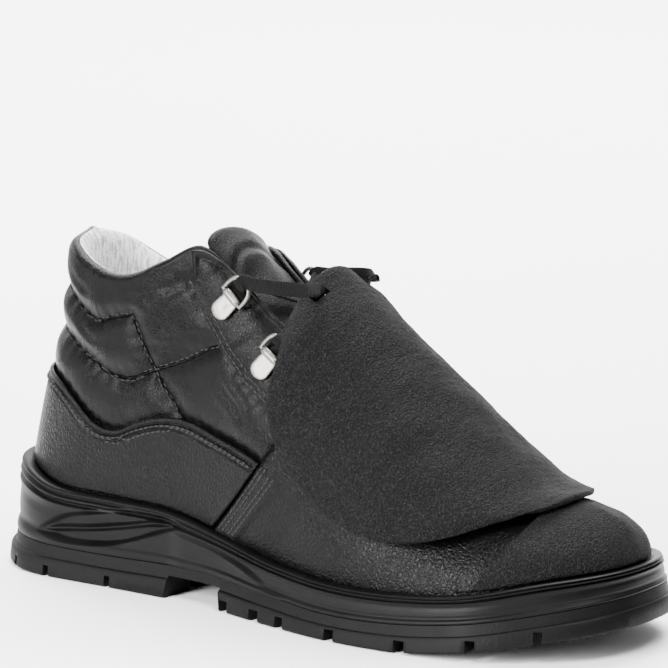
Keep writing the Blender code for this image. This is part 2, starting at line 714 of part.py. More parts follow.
def sweep(path, wide, deep, section, closed=False):
    """A body that carries a section of (wide, deep) pairs along a path of points with those two directions."""
    path, wide, deep = (np.array(values, float) for values in (path, wide, deep))
    section = np.array(section)

    def place(u, w):
        i = np.rint(u * (len(path) - (0 if closed else 1))).astype(int) % len(path)
        k = np.rint(w * len(section)).astype(int) % len(section)
        return path[i] + wide[i] * section[k, :1] + deep[i] * section[k, 1:]

    bm = grid(len(path) - (0 if closed else 1), len(section), place)
    if not closed:
        bmesh.ops.holes_fill(bm, edges=bm.edges)
    bmesh.ops.recalc_face_normals(bm, faces=bm.faces)
    return bm


def circle(radius, count):
    angles = np.arange(count) * 2 * np.pi / count
    return np.stack([np.cos(angles), np.sin(angles)], -1) * radius


def loop_level(y):
    """Height of the ring's tilted loop above the skin."""
    return RING_LIFT + RING_BARREL / 3 + (y - RING_BARREL_AT) * RING_SLOPE


def make_ring(name, frame):
    """Plate with a folded barrel that carries a D of wire."""
    half = RING_PLATE_WIDTH / 2
    arc = np.linspace(np.pi, 2 * np.pi, 9)
    tab = np.stack([half * np.cos(arc), 0.8 * half * np.sin(arc) - (RING_PLATE_BACK - 0.8 * half)], -1)
    tab = np.concatenate([tab, [(half, RING_BARREL_AT), (-half, RING_BARREL_AT)]])
    levels = [(0, 0, RING_LIFT - RING_PLATE_THICKNESS / 2), (0, 0, RING_LIFT + RING_PLATE_THICKNESS / 2)]
    plate = add_object(name, sweep(levels, [(1, 0, 0)] * 2, [(0, 1, 0)] * 2, tab), RING_METAL)

    ends = [(side * half, RING_BARREL_AT, loop_level(RING_BARREL_AT)) for side in (-1, 1)]
    barrel = add_object(name + "_barrel", sweep(ends, [(0, 1, 0)] * 2, [(0, 0, 1)] * 2, circle(RING_BARREL / 2, 10)), RING_METAL)

    wide, reach = (RING_WIDTH - RING_WIRE) / 2, RING_REACH - RING_BARREL_AT
    shape = [(-1, 0), (-1, 0.45), (-0.88, 0.80), (-0.6, 1), (0.6, 1), (0.88, 0.80), (1, 0.45), (1, 0)]
    path = [(wide * x, RING_BARREL_AT + reach * y, loop_level(RING_BARREL_AT + reach * y)) for x, y in shape]
    middle = np.array([0, RING_BARREL_AT + reach / 2, loop_level(RING_BARREL_AT + reach / 2)])
    outward = [Vector(point - middle).normalized() for point in np.array(path)]
    across = Vector((0, -RING_SLOPE, 1)).normalized()
    wire = add_object(name + "_wire", sweep(path, outward, [across] * len(path), circle(RING_WIRE / 2, 6), True), RING_METAL)
    for piece in (barrel, wire):
        combine(plate, piece, "UNION")
    for piece in (plate, barrel, wire):
        piece.matrix_local = frame
    return plate


def wrap(frame, start, finish, count):
    """Points of the lace's turn round a ring's wire, by angle in the ring's upright plane, with its wide direction."""
    radius = (RING_WIRE + LACE_THICKNESS) / 2 + LACE_GAP
    turns = np.radians(np.linspace(start, finish, count))
    places = [(0, RING_REACH + radius * np.cos(turn), loop_level(RING_REACH) + radius * np.sin(turn)) for turn in turns]
    return [(frame @ Vector(place), frame.col[0].to_3d()) for place in places]


def taut(first, last, out, surfaces, clear):
    """Points of a strip pulled tight from first to last over the surfaces under it."""
    chord = (last - first).normalized()
    out = (out - chord * out.dot(chord)).normalized()
    shares = np.linspace(0, 1, 14)
    line = [first.lerp(last, share) for share in shares]
    rise = np.zeros(len(shares))
    for i in range(1, len(shares) - 1):
        for surface in surfaces:
            hit = surface.ray_cast(line[i] + out * COLLAR_HEIGHT / 3, -out)[0]
            if hit:
                rise[i] = max(rise[i], (hit - line[i]).dot(out) + clear)
    held = [0]
    for i in range(1, len(shares)):
        while len(held) > 1:
            slope = (rise[i] - rise[held[-2]]) / (i - held[-2])
            if rise[held[-1]] > rise[held[-2]] + slope * (held[-1] - held[-2]):
                break
            held.pop()
        held.append(i)
    rise = np.interp(range(len(shares)), held, rise[held])
    return [(point + out * up, chord.cross(out)) for point, up in list(zip(line, rise))[1:-1]]


def slot_pass(side):
    """Points of the lace's way in through a slot of the flap, with its wide direction."""
    frame = slot_frame(side)
    near = 2.4 * LACE_THICKNESS
    places = [(-side * near, near / 4, 1.2 * near), (-side * near / 3, near / 8, near), (0, 0, 0.6 * near)]
    places += [(0, 0, -depth) for depth in (0, FLAP_WALL)] + [(0, -near / 3, -FLAP_WALL - near)]
    turned = [(0.1, 1), (0.5, 0.8)] + [(1, 0)] * 4
    x, y = frame.col[0].to_3d(), frame.col[1].to_3d()
    return [(frame @ Vector(spot), x * a + y * b) for spot, (a, b) in zip(places, turned)]


def bowed(first, last, side):
    """Points between two places outside the flap's edge, bowed clear of it."""
    return [(first.lerp(last, share) - Vector((0, side * LACE_BOW * bow, 0)), Vector((0.4, 0, -0.9)))
            for share, bow in ((0.2, 0.4), (0.45, 0.8), (0.75, 0.8))]


def ribbon(steps):
    """A strip of lace along steps of a point and a wide direction."""
    path = np.array([point for point, _ in steps])
    wide = np.array([direction for _, direction in steps])
    tangent = np.gradient(path, axis=0)
    for _ in range(3):
        for i in range(1, len(wide)):
            wide[i] *= 1 if wide[i] @ wide[i - 1] > 0 else -1
        wide[1:-1] = (wide[:-2] + 2 * wide[1:-1] + wide[2:]) / 4
        wide -= tangent * (wide * tangent).sum(1, keepdims=True) / (tangent**2).sum(1, keepdims=True)
        wide /= np.linalg.norm(wide, axis=1, keepdims=True)
    deep = np.cross(tangent, wide)
    deep /= np.linalg.norm(deep, axis=1, keepdims=True)
    half, thick = LACE_WIDTH / 2, LACE_THICKNESS / 2
    edge = 0.6 * thick
    section = [(-half, -edge), (0, -thick), (half, -edge), (half, edge), (0, thick), (-half, edge)]
    return sweep(path, wide, deep, section)


def make_lace():
    """One strip: from the top outer ring down and up again through all the rings, then back through the flap."""
    outer, inner = ring_frames(1), ring_frames(-1)
    graph = bpy.context.evaluated_depsgraph_get()
    under = [bpy.data.objects[name] for name in ("tongue", "upper", "eyestay_outer", "eyestay_inner")]
    surfaces = [BVHTree.FromObject(item, graph) for item in under]
    stops = [outer[0], inner[1], outer[2], inner[2], outer[1], inner[0]]
    clear = LACE_GAP + LACE_THICKNESS
    lifts = [0, 0, 0, LACE_LIFT, LACE_LIFT]
    steps = wrap(outer[0], 192, 285, 4)
    for start, finish, lift in zip(stops, stops[1:], lifts):
        turn = wrap(finish, 75, 285, 8)
        out = start.col[2].to_3d() + finish.col[2].to_3d()
        steps += taut(steps[-1][0], turn[0][0], out, surfaces, clear + lift) + turn
    entry, leave = slot_pass(-1), slot_pass(1)[::-1]
    steps += bowed(steps[-1][0], entry[0][0], -1) + entry
    middle = (entry[-1][0] + leave[0][0]) / 2
    steps += [(middle + Vector((0, 0, LACE_THICKNESS / 2)), Vector((0.5, 0, 0.8)))] + leave
    last = wrap(outer[0], 75, 172, 4)
    steps += bowed(last[0][0], leave[-1][0], 1)[::-1] + last
    add_object("lace", ribbon(steps), LACE_YARN)


def build():
    make_outsole()
    make_midsole()
    make_insole()
    make_upper()
    make_quarter()
    make_toe_cap()
    make_eyestay("eyestay_outer", 1)
    make_eyestay("eyestay_inner", -1)
    thicken(add_object("tongue", grid(14, 12, tongue), GRAINED_LEATHER), TONGUE_WALL, False)
    make_flap()
    for name, side in (("d_ring_outer", 1), ("d_ring_inner", -1)):
        for number, frame in enumerate(ring_frames(side), 1):
            make_ring("%s_%d" % (name, number), frame)
    make_lace()


def clear_scene():
    for old in list(bpy.data.objects):
        bpy.data.objects.remove(old)


def shoe_centre():
    """The middle of the outsole's plan, which becomes the origin."""
    x, y, _ = outline(np.linspace(0, 2 * np.pi, 721))
    return Vector(((x.min() + x.max()) / 2, (y.min() + y.max()) / 2, 0))


clear_scene()
SHOE = bpy.data.objects.new("shoe", None)
bpy.context.collection.objects.link(SHOE)
SHOE.location = -shoe_centre()
build()
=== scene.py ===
import bmesh
import bpy
import numpy as np
from mathutils import Matrix, Vector
from mathutils.bvhtree import BVHTree


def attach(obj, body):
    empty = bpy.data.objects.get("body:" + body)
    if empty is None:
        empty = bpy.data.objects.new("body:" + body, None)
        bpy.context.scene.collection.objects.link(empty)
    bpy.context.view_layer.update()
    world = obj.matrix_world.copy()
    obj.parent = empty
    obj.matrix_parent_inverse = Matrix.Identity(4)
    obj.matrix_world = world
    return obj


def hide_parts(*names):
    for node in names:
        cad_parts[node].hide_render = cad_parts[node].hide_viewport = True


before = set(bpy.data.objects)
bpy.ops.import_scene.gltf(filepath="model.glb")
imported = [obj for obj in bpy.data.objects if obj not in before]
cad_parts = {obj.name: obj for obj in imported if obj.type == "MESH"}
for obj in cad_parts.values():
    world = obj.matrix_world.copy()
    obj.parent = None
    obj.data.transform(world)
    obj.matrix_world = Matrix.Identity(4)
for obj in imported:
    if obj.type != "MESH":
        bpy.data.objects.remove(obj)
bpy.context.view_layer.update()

MM = 0.001

# sizes of the model
SOLE_LENGTH = 0.312
BALL_WIDTH = 0.115
HEEL_HEIGHT = 0.037
TOE_HEIGHT = 0.0575
COLLAR_HEIGHT = 0.148
HEEL_ROUND = 0.040
TOE_ROUND = 0.056
ROUND_POWER = 2.25
MIDSOLE_FLARE = 0.0030
RIM_INSET = 0.0060
RIM_WIDTH = 0.0040
RIM_DEPTH = 0.0030
RECESS_DEPTH = 0.0030
SHOULDER_STEP = 0.0015
LUG_DEPTH = 0.0050
LUG_PROUD = 0.0022
CHANNEL_INSET = 0.0210
CHANNEL_WIDTH = 0.0050
CUT_OVERLAP = 0.0011
SEAT_GAP = 0.0003
CUP_GAP = 0.0005
PANEL_GAP = 0.0004
RIM_GAP = 0.0006
UPPER_INSET = 0.0105
VAMP_WALL = 0.0026
COLLAR_WALL = 0.0090
PANEL_WALL = 0.0016
CAP_WALL = 0.0020
TONGUE_WALL = 0.0060
TONGUE_GAP = 0.0009
FLAP_WALL = 0.0042
FLAP_FRONT_WALL = 0.0024
RING_PLATE_WIDTH = 0.0090
RING_PLATE_BACK = 0.0058
RING_PLATE_THICKNESS = 0.0012
RING_LIFT = 0.0034
RING_BARREL = 0.0034
RING_BARREL_AT = 0.0050
RING_WIRE = 0.0018
RING_WIDTH = 0.0130
RING_REACH = 0.0128
RING_SLOPE = 0.14
RING_TURN = 5
LACE_WIDTH = 0.0060
LACE_THICKNESS = 0.0014
LACE_GAP = 0.0007
LACE_LIFT = 0.0024
LACE_BOW = 0.0045
SLOT_HEIGHT = 0.0032
SLOT_UP, SLOT_ACROSS = 0.930, 0.200
EYESTAY_TOP, EYESTAY_END = 0.418, 0.645
CAP_CORNER = 0.722
TONGUE_BASE, TONGUE_TOP = 0.655, 0.435
TONGUE_OPEN, TONGUE_TUCK = 0.55, 0.18
ARCH_BACK, ARCH_FRONT, ARCH_RISE = 0.335, 0.428, 0.26


def table(names, rows):
    """The rows' values by column name."""
    return dict(zip(names.split(), np.array(rows, float).T))


def along(rows, column, at):
    """The column's value at a station, on one smooth curve through the table's rows."""
    knots, values = rows["at"], rows[column]
    slopes = np.gradient(values, knots)
    at = np.clip(at, knots[0], knots[-1])
    i = np.clip(np.searchsorted(knots, at) - 1, 0, len(knots) - 2)
    step = knots[i + 1] - knots[i]
    t = (at - knots[i]) / step
    start = values[i] * (1 + 2 * t) * (1 - t) ** 2 + step * slopes[i] * t * (1 - t) ** 2
    end = values[i + 1] * t * t * (3 - 2 * t) + step * slopes[i + 1] * t * t * (t - 1)
    return start + end


FOOTPRINT = table("at centre half", [
    (0.00, 0.000, 0.660), (0.12, 0.000, 0.685), (0.25, -0.020, 0.675), (0.40, -0.080, 0.665),
    (0.52, -0.095, 0.805), (0.62, -0.060, 0.945), (0.72, -0.015, 1.000), (0.82, 0.020, 0.970),
    (0.92, 0.050, 0.880), (1.00, 0.060, 0.850),
])
HEIGHTS = table("at tread wrap bed lip", [
    (0.00, 0.080, 0.420, 0.900, 1.320),
    (0.05, 0.015, 0.390, 0.860, 1.230),
    (0.12, 0.000, 0.360, 0.780, 1.055),
    (0.22, 0.000, 0.350, 0.740, 1.005),
    (0.32, 0.000, 0.370, 0.700, 0.970),
    (0.42, 0.000, 0.380, 0.580, 0.805),
    (0.52, 0.000, 0.320, 0.450, 0.660),
    (0.62, 0.000, 0.270, 0.390, 0.595),
    (0.72, 0.000, 0.290, 0.390, 0.600),
    (0.82, 0.080, 0.380, 0.450, 0.680),
    (0.92, 0.240, 0.540, 0.600, 0.860),
    (1.00, 0.350, 0.680, 0.730, 0.960),
])
# side of the midsole, finer than the model's: at is a share of its height, in is how far it stands back, in mm
SIDE = table("at in", [
    (0.00, 0.0), (0.06, -0.1), (0.12, 0.2), (0.18, 0.8), (0.32, 0.9), (0.45, 1.1),
    (0.62, 1.5), (0.69, 1.3), (0.735, 1.35), (0.755, 2.5), (0.785, 2.7), (0.81, 1.9),
    (0.865, 1.7), (0.885, 2.5), (0.91, 2.6), (0.935, 2.0), (0.97, 2.2), (1.00, 3.2),
])
RECESS = table("at middle half", [
    (0.095, 0.500, 0.000), (0.125, 0.555, 0.120), (0.190, 0.625, 0.200), (0.250, 0.715, 0.200),
    (0.300, 0.800, 0.140), (0.360, 0.840, 0.000),
])
SHOULDER = table("at z", [(0.33, 0.80), (0.38, 0.73), (0.43, 0.66), (0.48, 0.55), (0.52, 0.42), (0.56, 0.30)])
SECTIONS = table("at x y up inner rise lean reach tilt pitch", [
    (0.00, 0.104, 0.000, 0.976, 0.976, 0.30, -16, 0.31, 2, 0.00),
    (0.10, 0.128, 0.365, 0.937, 0.905, 0.30, -10, 0.31, 1, 0.00),
    (0.20, 0.190, 0.540, 0.854, 0.778, 0.32, -4, 0.31, 0, 0.00),
    (0.30, 0.256, 0.590, 0.833, 0.735, 0.31, 0, 0.30, 2, 0.00),
    (0.38, 0.322, 0.556, 0.917, 0.860, 0.30, 3, 0.32, 8, 0.00),
    (0.43, 0.370, 0.435, 0.995, 0.930, 0.27, 4, 0.33, 14, 0.00),
    (0.48, 0.418, 0.330, 0.869, 0.845, 0.28, 4, 0.30, 32, 0.00),
    (0.54, 0.480, 0.280, 0.668, 0.668, 0.27, 4, 0.28, 50, -0.20),
    (0.60, 0.556, 0.226, 0.455, 0.455, 0.27, 4, 0.30, 68, -0.40),
    (0.66, 0.628, 0.090, 0.292, 0.292, 0.25, 4, 0.31, 82, -0.52),
    (0.72, 0.712, 0.000, 0.118, 0.118, 0.26, 3, 0.35, 90, -0.46),
    (0.80, 0.788, 0.000, 0.004, 0.004, 0.30, 2, 0.45, 90, -0.22),
    (0.90, 0.820, 0.000, -0.018, -0.018, 0.32, 2, 0.51, 90, -0.12),
    (1.00, 0.827, 0.000, -0.020, -0.020, 0.39, 2, 0.60, 90, -0.10),
])
PADDING = table("at pad", [(0.00, 1.00), (0.30, 1.00), (0.38, 0.75), (0.43, 0.25), (0.48, 0.00), (1.00, 0.00)])
WAVE = table("at z", [
    (0.000, 0.612), (0.087, 0.585), (0.126, 0.560), (0.154, 0.525), (0.193, 0.462), (0.230, 0.449),
    (0.275, 0.485), (0.309, 0.504), (0.352, 0.506), (0.409, 0.477), (0.464, 0.445), (0.520, 0.400),
    (0.600, 0.350),
])
QUARTER_FRONT = table("at share", [(0.0, 0.430), (0.5, 0.464), (1.0, 0.497)])
EYESTAY_BACK = table("at z", [
    (0.330, 1.000), (0.361, 0.888), (0.381, 0.814), (0.406, 0.739), (0.436, 0.672), (0.471, 0.613),
    (0.520, 0.545), (0.600, 0.460), (0.660, 0.410),
])
CAP_REAR = table("at x", [(0.00, 0.805), (0.16, 0.817), (0.28, 0.850), (0.36, 0.862), (0.41, 0.850)])
RINGS = table("at share v", [(1, 0.459, 0.828), (2, 0.511, 0.722), (3, 0.572, 0.700)])
TONGUE_BULGE = table("at handle", [(0.0, 0.60), (0.5, 0.70), (1.0, 0.33)])
FLAP = table("at x z edge_x edge_y edge_z wrap", [
    (0.00, 0.892, 0.398, 0.842, 0.490, 0.351, 0.80),
    (0.06, 0.868, 0.406, 0.820, 0.610, 0.334, 0.85),
    (0.14, 0.840, 0.424, 0.786, 0.745, 0.306, 0.90),
    (0.24, 0.800, 0.478, 0.742, 0.845, 0.286, 0.92),
    (0.36, 0.747, 0.570, 0.684, 0.882, 0.288, 0.94),
    (0.48, 0.703, 0.651, 0.627, 0.870, 0.323, 0.96),
    (0.60, 0.659, 0.730, 0.573, 0.810, 0.395, 0.98),
    (0.71, 0.620, 0.798, 0.531, 0.765, 0.498, 0.98),
    (0.80, 0.590, 0.850, 0.516, 0.740, 0.611, 0.98),
    (0.88, 0.565, 0.892, 0.520, 0.665, 0.709, 0.95),
    (0.94, 0.548, 0.922, 0.516, 0.515, 0.791, 0.90),
    (1.00, 0.530, 0.955, 0.520, 0.330, 0.880, 0.75),
])
# grooves of the tread: a share of the sole's length, and the width in mm
GROOVES = [
    (0.058, 2.4), (0.125, 2.8), (0.232, 2.8), (0.440, 5.0), (0.500, 5.5),
    (0.548, 4.5), (0.636, 4.6), (0.742, 4.6), (0.838, 4.0), (0.915, 3.4),
]
CENTRE_GROOVES = [
    (0.106, 3.5), (0.200, 3.5), (0.470, 4.0), (0.550, 4.0),
    (0.630, 4.0), (0.710, 4.0), (0.790, 4.0), (0.870, 4.0),
]


def outline(turn, inset=0.0):
    """Plan points and stations of the sole's outline, inset. Turn is 0 at the heel and pi at the toe."""
    x = inset + (SOLE_LENGTH - 2 * inset) * (1 - np.cos(turn)) / 2
    station = x / SOLE_LENGTH
    back = np.clip(1 - (x - inset) / HEEL_ROUND, 0, 1)
    front = np.clip(1 - (SOLE_LENGTH - inset - x) / TOE_ROUND, 0, 1)
    ends = (1 - back**ROUND_POWER) * (1 - front**ROUND_POWER)
    half = (along(FOOTPRINT, "half", station) * BALL_WIDTH / 2 - inset) * ends ** (1 / ROUND_POWER)
    centre = along(FOOTPRINT, "centre", station) * BALL_WIDTH / 2
    return x, centre - np.sign(np.sin(turn)) * half, station


def height(column, station):
    return np.maximum(along(HEIGHTS, column, station), 0) * HEEL_HEIGHT


def on_outline(turn, inset, column, above=0.0):
    """Points on the outline at a height from HEIGHTS."""
    x, y, station = outline(turn, inset)
    return np.stack([x, y, height(column, station) + above], -1)


def half_share(turn):
    return np.abs((turn + np.pi) % (2 * np.pi) - np.pi) / np.pi


def skin(turn, v):
    """Points of the upper's skin: v is 0 at the sole's rim, 1 at the section's top and -1 on the footbed."""
    turn, v = np.broadcast_arrays(np.asarray(turn, float), np.asarray(v, float))
    share = half_share(turn)
    side = -np.sign(np.sin(turn))
    x, y, station = outline(turn, UPPER_INSET)
    nudge = 0.001
    x_before, y_before, _ = outline(turn - nudge, UPPER_INSET)
    x_after, y_after, _ = outline(turn + nudge, UPPER_INSET)
    step = np.hypot(x_after - x_before, y_after - y_before)
    out_x, out_y = (y_after - y_before) / step, -(x_after - x_before) / step
    start = np.stack([x, y, height("lip", station) - RIM_DEPTH], -1)
    foot = start[..., 2] - height("bed", station) - SEAT_GAP

    end_x = along(SECTIONS, "x", share) * SOLE_LENGTH
    end_y = along(FOOTPRINT, "centre", end_x / SOLE_LENGTH) + side * along(SECTIONS, "y", share)
    up = np.where(side > 0, along(SECTIONS, "inner", share), along(SECTIONS, "up", share))
    end = np.stack([end_x, end_y * BALL_WIDTH / 2, TOE_HEIGHT + up * (COLLAR_HEIGHT - TOE_HEIGHT)], -1)

    span = np.linalg.norm(end - start, axis=-1)
    lean, tilt = np.radians(along(SECTIONS, "lean", share)), np.radians(along(SECTIONS, "tilt", share))
    away = start[..., :2] - end[..., :2]
    away = away / (np.linalg.norm(away, axis=-1, keepdims=True) + 1e-9) * np.sin(tilt)[..., None]
    rise = np.stack([out_x * np.sin(lean), out_y * np.sin(lean), np.cos(lean)], -1)
    drop = -np.cos(tilt) + along(SECTIONS, "pitch", share) * away[..., 0]
    reach = np.concatenate([away, drop[..., None]], -1)
    one = start + rise * (along(SECTIONS, "rise", share) * span)[..., None]
    two = end + reach * (along(SECTIONS, "reach", share) * span)[..., None]

    t = np.clip(v, 0, 1)[..., None]
    points = (1 - t) ** 3 * start + 3 * t * (1 - t) ** 2 * one + 3 * t * t * (1 - t) * two + t**3 * end
    points[..., 2] += np.minimum(v, 0) * foot
    return points


def where(turn, test):
    """The v at which test(point) changes from positive to negative along each section."""
    low, high = np.zeros_like(turn), np.ones_like(turn)
    for _ in range(24):
        middle = (low + high) / 2
        positive = test(skin(turn, middle)) > 0
        low, high = np.where(positive, middle, low), np.where(positive, high, middle)
    return (low + high) / 2


def above_rim(turn):
    rim = skin(turn, np.zeros_like(turn))[..., 2] + RIM_DEPTH + RIM_GAP
    return where(turn, lambda p: rim - p[..., 2])


def below_line(rows):
    return lambda p: along(rows, "z", p[..., 0] / SOLE_LENGTH) * COLLAR_HEIGHT - p[..., 2]


def ahead_of_cap(p):
    return p[..., 0] - along(CAP_REAR, "x", p[..., 2] / COLLAR_HEIGHT) * SOLE_LENGTH


def wall(turn, v):
    """Thickness of the upper's wall, with the collar's padding."""
    pad = along(PADDING, "pad", half_share(turn)) * np.clip((v - 0.30) / 0.25, 0, 1)
    return VAMP_WALL + pad * (1 - 0.35 * np.clip((v - 0.85) / 0.15, 0, 1)) * (COLLAR_WALL - VAMP_WALL)


def unit(vectors):
    return vectors / (np.linalg.norm(vectors, axis=-1, keepdims=True) + 1e-12)


def normal_of(turn, v):
    """Outward normals of the skin."""
    nudge = 0.002
    around = skin(turn + nudge, v) - skin(turn - nudge, v)
    up = skin(turn, v) - skin(turn, v - nudge)
    return unit(np.cross(around, up))


def under_skin(turn, v, depth):
    """Points that far in from the skin, along its normal."""
    return skin(turn, v) - normal_of(turn, v) * np.broadcast_to(depth, turn.shape)[..., None]


def over_skin(turn, v, height):
    return skin(turn, v) + normal_of(turn, v) * height


def tongue(u, w):
    """Points of the tongue's top: u runs from the outer to the inner edge, w from the vamp to the top edge."""
    share = TONGUE_BASE + (TONGUE_TOP - TONGUE_BASE) * w
    across = 2 * u - 1
    turn = np.where(across < 0, 1, -1) * share * np.pi
    tucked = np.clip((np.abs(across) - TONGUE_OPEN) / (1 - TONGUE_OPEN), 0, 1)
    v = 1 - tucked * TONGUE_TUCK
    points = under_skin(turn, v, wall(turn, v) + TONGUE_GAP)
    one = np.ones_like(u)
    depth = wall(turn, one) + TONGUE_GAP
    outer, inner = (under_skin(side * share * np.pi, one, depth) for side in (1, -1))
    gap = np.linalg.norm(inner - outer, axis=-1) * along(TONGUE_BULGE, "handle", w)
    handles = []
    for side, start in ((1, outer), (-1, inner)):
        up = skin(side * share * np.pi, one) - skin(side * share * np.pi, 0.98 * one)
        handles.append(start + up * (gap / np.linalg.norm(up, axis=-1))[..., None])
    t = np.clip((across / TONGUE_OPEN + 1) / 2, 0, 1)[..., None]
    bridge = ((1 - t) ** 3 * outer + 3 * t * (1 - t) ** 2 * handles[0]
              + 3 * t * t * (1 - t) * handles[1] + t**3 * inner)
    return np.where(tucked[..., None] > 0, points, bridge)


def flap(u, w):
    """Points of the flap's outer face: u runs across it, w up its ridge."""
    q = 2 * u - 1
    full = along(FLAP, "wrap", w) * np.pi / 2
    across = np.sin(np.abs(q) * full) / np.sin(full) * np.sign(q)
    down = (1 - np.cos(np.abs(q) * full)) / (1 - np.cos(full))
    x, z = along(FLAP, "x", w), along(FLAP, "z", w)
    edge_x, edge_z = along(FLAP, "edge_x", w), along(FLAP, "edge_z", w)
    x = (x + (edge_x - x) * down) * SOLE_LENGTH
    y = (along(FOOTPRINT, "centre", x / SOLE_LENGTH) + along(FLAP, "edge_y", w) * across) * BALL_WIDTH / 2
    return np.stack([x, y, (z + (edge_z - z) * down) * COLLAR_HEIGHT], -1)


plan_x, plan_y, _ = outline(np.linspace(0, 2 * np.pi, 721))
SHIFT = np.array([-(plan_x.min() + plan_x.max()) / 2, -(plan_y.min() + plan_y.max()) / 2, 0.0])

# camera: the photograph's direction and distance, with the frame's middle on the optical axis
AZIMUTH, ELEVATION, DISTANCE = np.radians(35.0), np.radians(11.6), 1.4
FOCAL_SHARE = 3395 / 668
AIM_RIGHT, AIM_UP = 16.5 / 3395, 96.8 / 3395


def make_camera():
    level = np.cos(ELEVATION)
    back = Vector((np.sin(AZIMUTH) * level, -np.cos(AZIMUTH) * level, np.sin(ELEVATION)))
    right = Vector((np.cos(AZIMUTH), np.sin(AZIMUTH), 0))
    data = bpy.data.cameras.new("camera")
    data.sensor_width = 36
    data.lens = 36 * FOCAL_SHARE
    data.clip_end = 20
    camera = bpy.data.objects.new("camera", data)
    camera.location = Vector((0.153, 0, 0.07)) + Vector(SHIFT) + back * DISTANCE
    look = -back + right * AIM_RIGHT + back.cross(right) * AIM_UP
    camera.rotation_euler = look.to_track_quat("-Z", "Y").to_euler()
    bpy.context.collection.objects.link(camera)
    bpy.context.scene.camera = camera


make_camera()


# node trees

def put(tree, socket, value):
    """Gives the socket a value, or links it from an output socket."""
    if isinstance(value, bpy.types.NodeSocket):
        tree.links.new(value, socket)
    else:
        socket.default_value = value


def add(tree, kind, inputs=None, **settings):
    """A node with its settings and inputs: an input is a value, or the output socket it is linked from."""
    made = tree.nodes.new(kind)
    for name, value in settings.items():
        setattr(made, name, value)
    for name, value in (inputs or {}).items():
        put(tree, made.inputs[name], value)
    return made


def math(tree, operation, *values):
    return add(tree, "ShaderNodeMath", dict(enumerate(values)), operation=operation).outputs[0]


def noise(tree, at, scale, detail=2.0, roughness=0.5):
    inputs = {"Vector": at, "Scale": scale, "Detail": detail, "Roughness": roughness}
    return add(tree, "ShaderNodeTexNoise", inputs).outputs


def cell_edges(tree, at, scale):
    cells = add(tree, "ShaderNodeTexVoronoi", {"Vector": at, "Scale": scale}, feature="DISTANCE_TO_EDGE")
    return cells.outputs["Distance"]


def ramp(tree, value, low, high, start=0.0, finish=1.0):
    """Smooth step of the value from low to high."""
    inputs = {"Value": value, "From Min": low, "From Max": high, "To Min": start, "To Max": finish}
    return add(tree, "ShaderNodeMapRange", inputs, interpolation_type="SMOOTHSTEP").outputs["Result"]


def blend_colours(tree, share, one, two):
    node = add(tree, "ShaderNodeMix", {"Factor": share}, data_type="RGBA")
    for socket, value in ((node.inputs[6], one), (node.inputs[7], two)):
        put(tree, socket, value if isinstance(value, bpy.types.NodeSocket) else (*value, 1))
    return node.outputs[2]


def new_group(name, inputs, outputs):
    """A node group with named sockets: inputs are (name, type, value), outputs (name, type)."""
    tree = bpy.data.node_groups.new(name, "ShaderNodeTree")
    for socket, kind, value in inputs:
        made = tree.interface.new_socket(name=socket, in_out="INPUT", socket_type=kind)
        if value is not None:
            made.default_value = value
    for socket, kind in outputs:
        tree.interface.new_socket(name=socket, in_out="OUTPUT", socket_type=kind)
    return tree, tree.nodes.new("NodeGroupInput").outputs, tree.nodes.new("NodeGroupOutput").inputs


FLOAT, VECTOR = "NodeSocketFloat", "NodeSocketVector"


def make_pebble_group():
    """Leather grain: rounded cells with fine creases between them. Height is in cells' own units."""
    tree, given, result = new_group(
        "pebble_grain", [("Vector", VECTOR, None), ("Cell", FLOAT, 0.0012), ("Fine", FLOAT, 0.4)],
        [("Height", FLOAT), ("Valley", FLOAT)])
    scale = math(tree, "DIVIDE", 1.0, given["Cell"])
    wander = noise(tree, given["Vector"], math(tree, "MULTIPLY", scale, 0.55))["Color"]
    offset = add(tree, "ShaderNodeVectorMath", {0: wander, 1: (0.5, 0.5, 0.5)}, operation="SUBTRACT").outputs[0]
    far = math(tree, "MULTIPLY", given["Cell"], 0.9)
    push = add(tree, "ShaderNodeVectorMath", {0: offset, "Scale": far}, operation="SCALE").outputs[0]
    moved = add(tree, "ShaderNodeVectorMath", {0: given["Vector"], 1: push}, operation="ADD").outputs[0]
    edges = cell_edges(tree, moved, scale)
    small = cell_edges(tree, moved, math(tree, "MULTIPLY", scale, 2.3))
    fine = math(tree, "MULTIPLY", ramp(tree, small, 0.0, 0.25), given["Fine"])
    put(tree, result["Height"], math(tree, "ADD", ramp(tree, edges, 0.0, 0.30), fine))
    put(tree, result["Valley"], ramp(tree, edges, 0.0, 0.16, 1.0, 0.0))
    return tree


def make_granule_group():
    """Rough coating: crowded granules with a few pale specks, and a mask of the small low gaps between them for
    painted shade.
    """
    tree, given, result = new_group(
        "granules", [("Vector", VECTOR, None), ("Size", FLOAT, 0.0008)],
        [("Height", FLOAT), ("Gap", FLOAT), ("Speck", FLOAT)])
    scale = math(tree, "DIVIDE", 1.0, given["Size"])
    cells = add(tree, "ShaderNodeTexVoronoi", {"Vector": given["Vector"], "Scale": scale}).outputs["Distance"]
    clumps = noise(tree, given["Vector"], math(tree, "MULTIPLY", scale, 0.45), 4.0, 0.7)["Fac"]
    total = math(tree, "ADD", math(tree, "MULTIPLY", ramp(tree, cells, 0.65, 0.05), 0.6), clumps)
    grit = noise(tree, given["Vector"], math(tree, "MULTIPLY", scale, 1.3), 3.0, 0.8)["Fac"]
    put(tree, result["Height"], total)
    put(tree, result["Gap"], ramp(tree, total, 0.95, 0.62))
    put(tree, result["Speck"], ramp(tree, grit, 0.47, 0.70))
    return tree


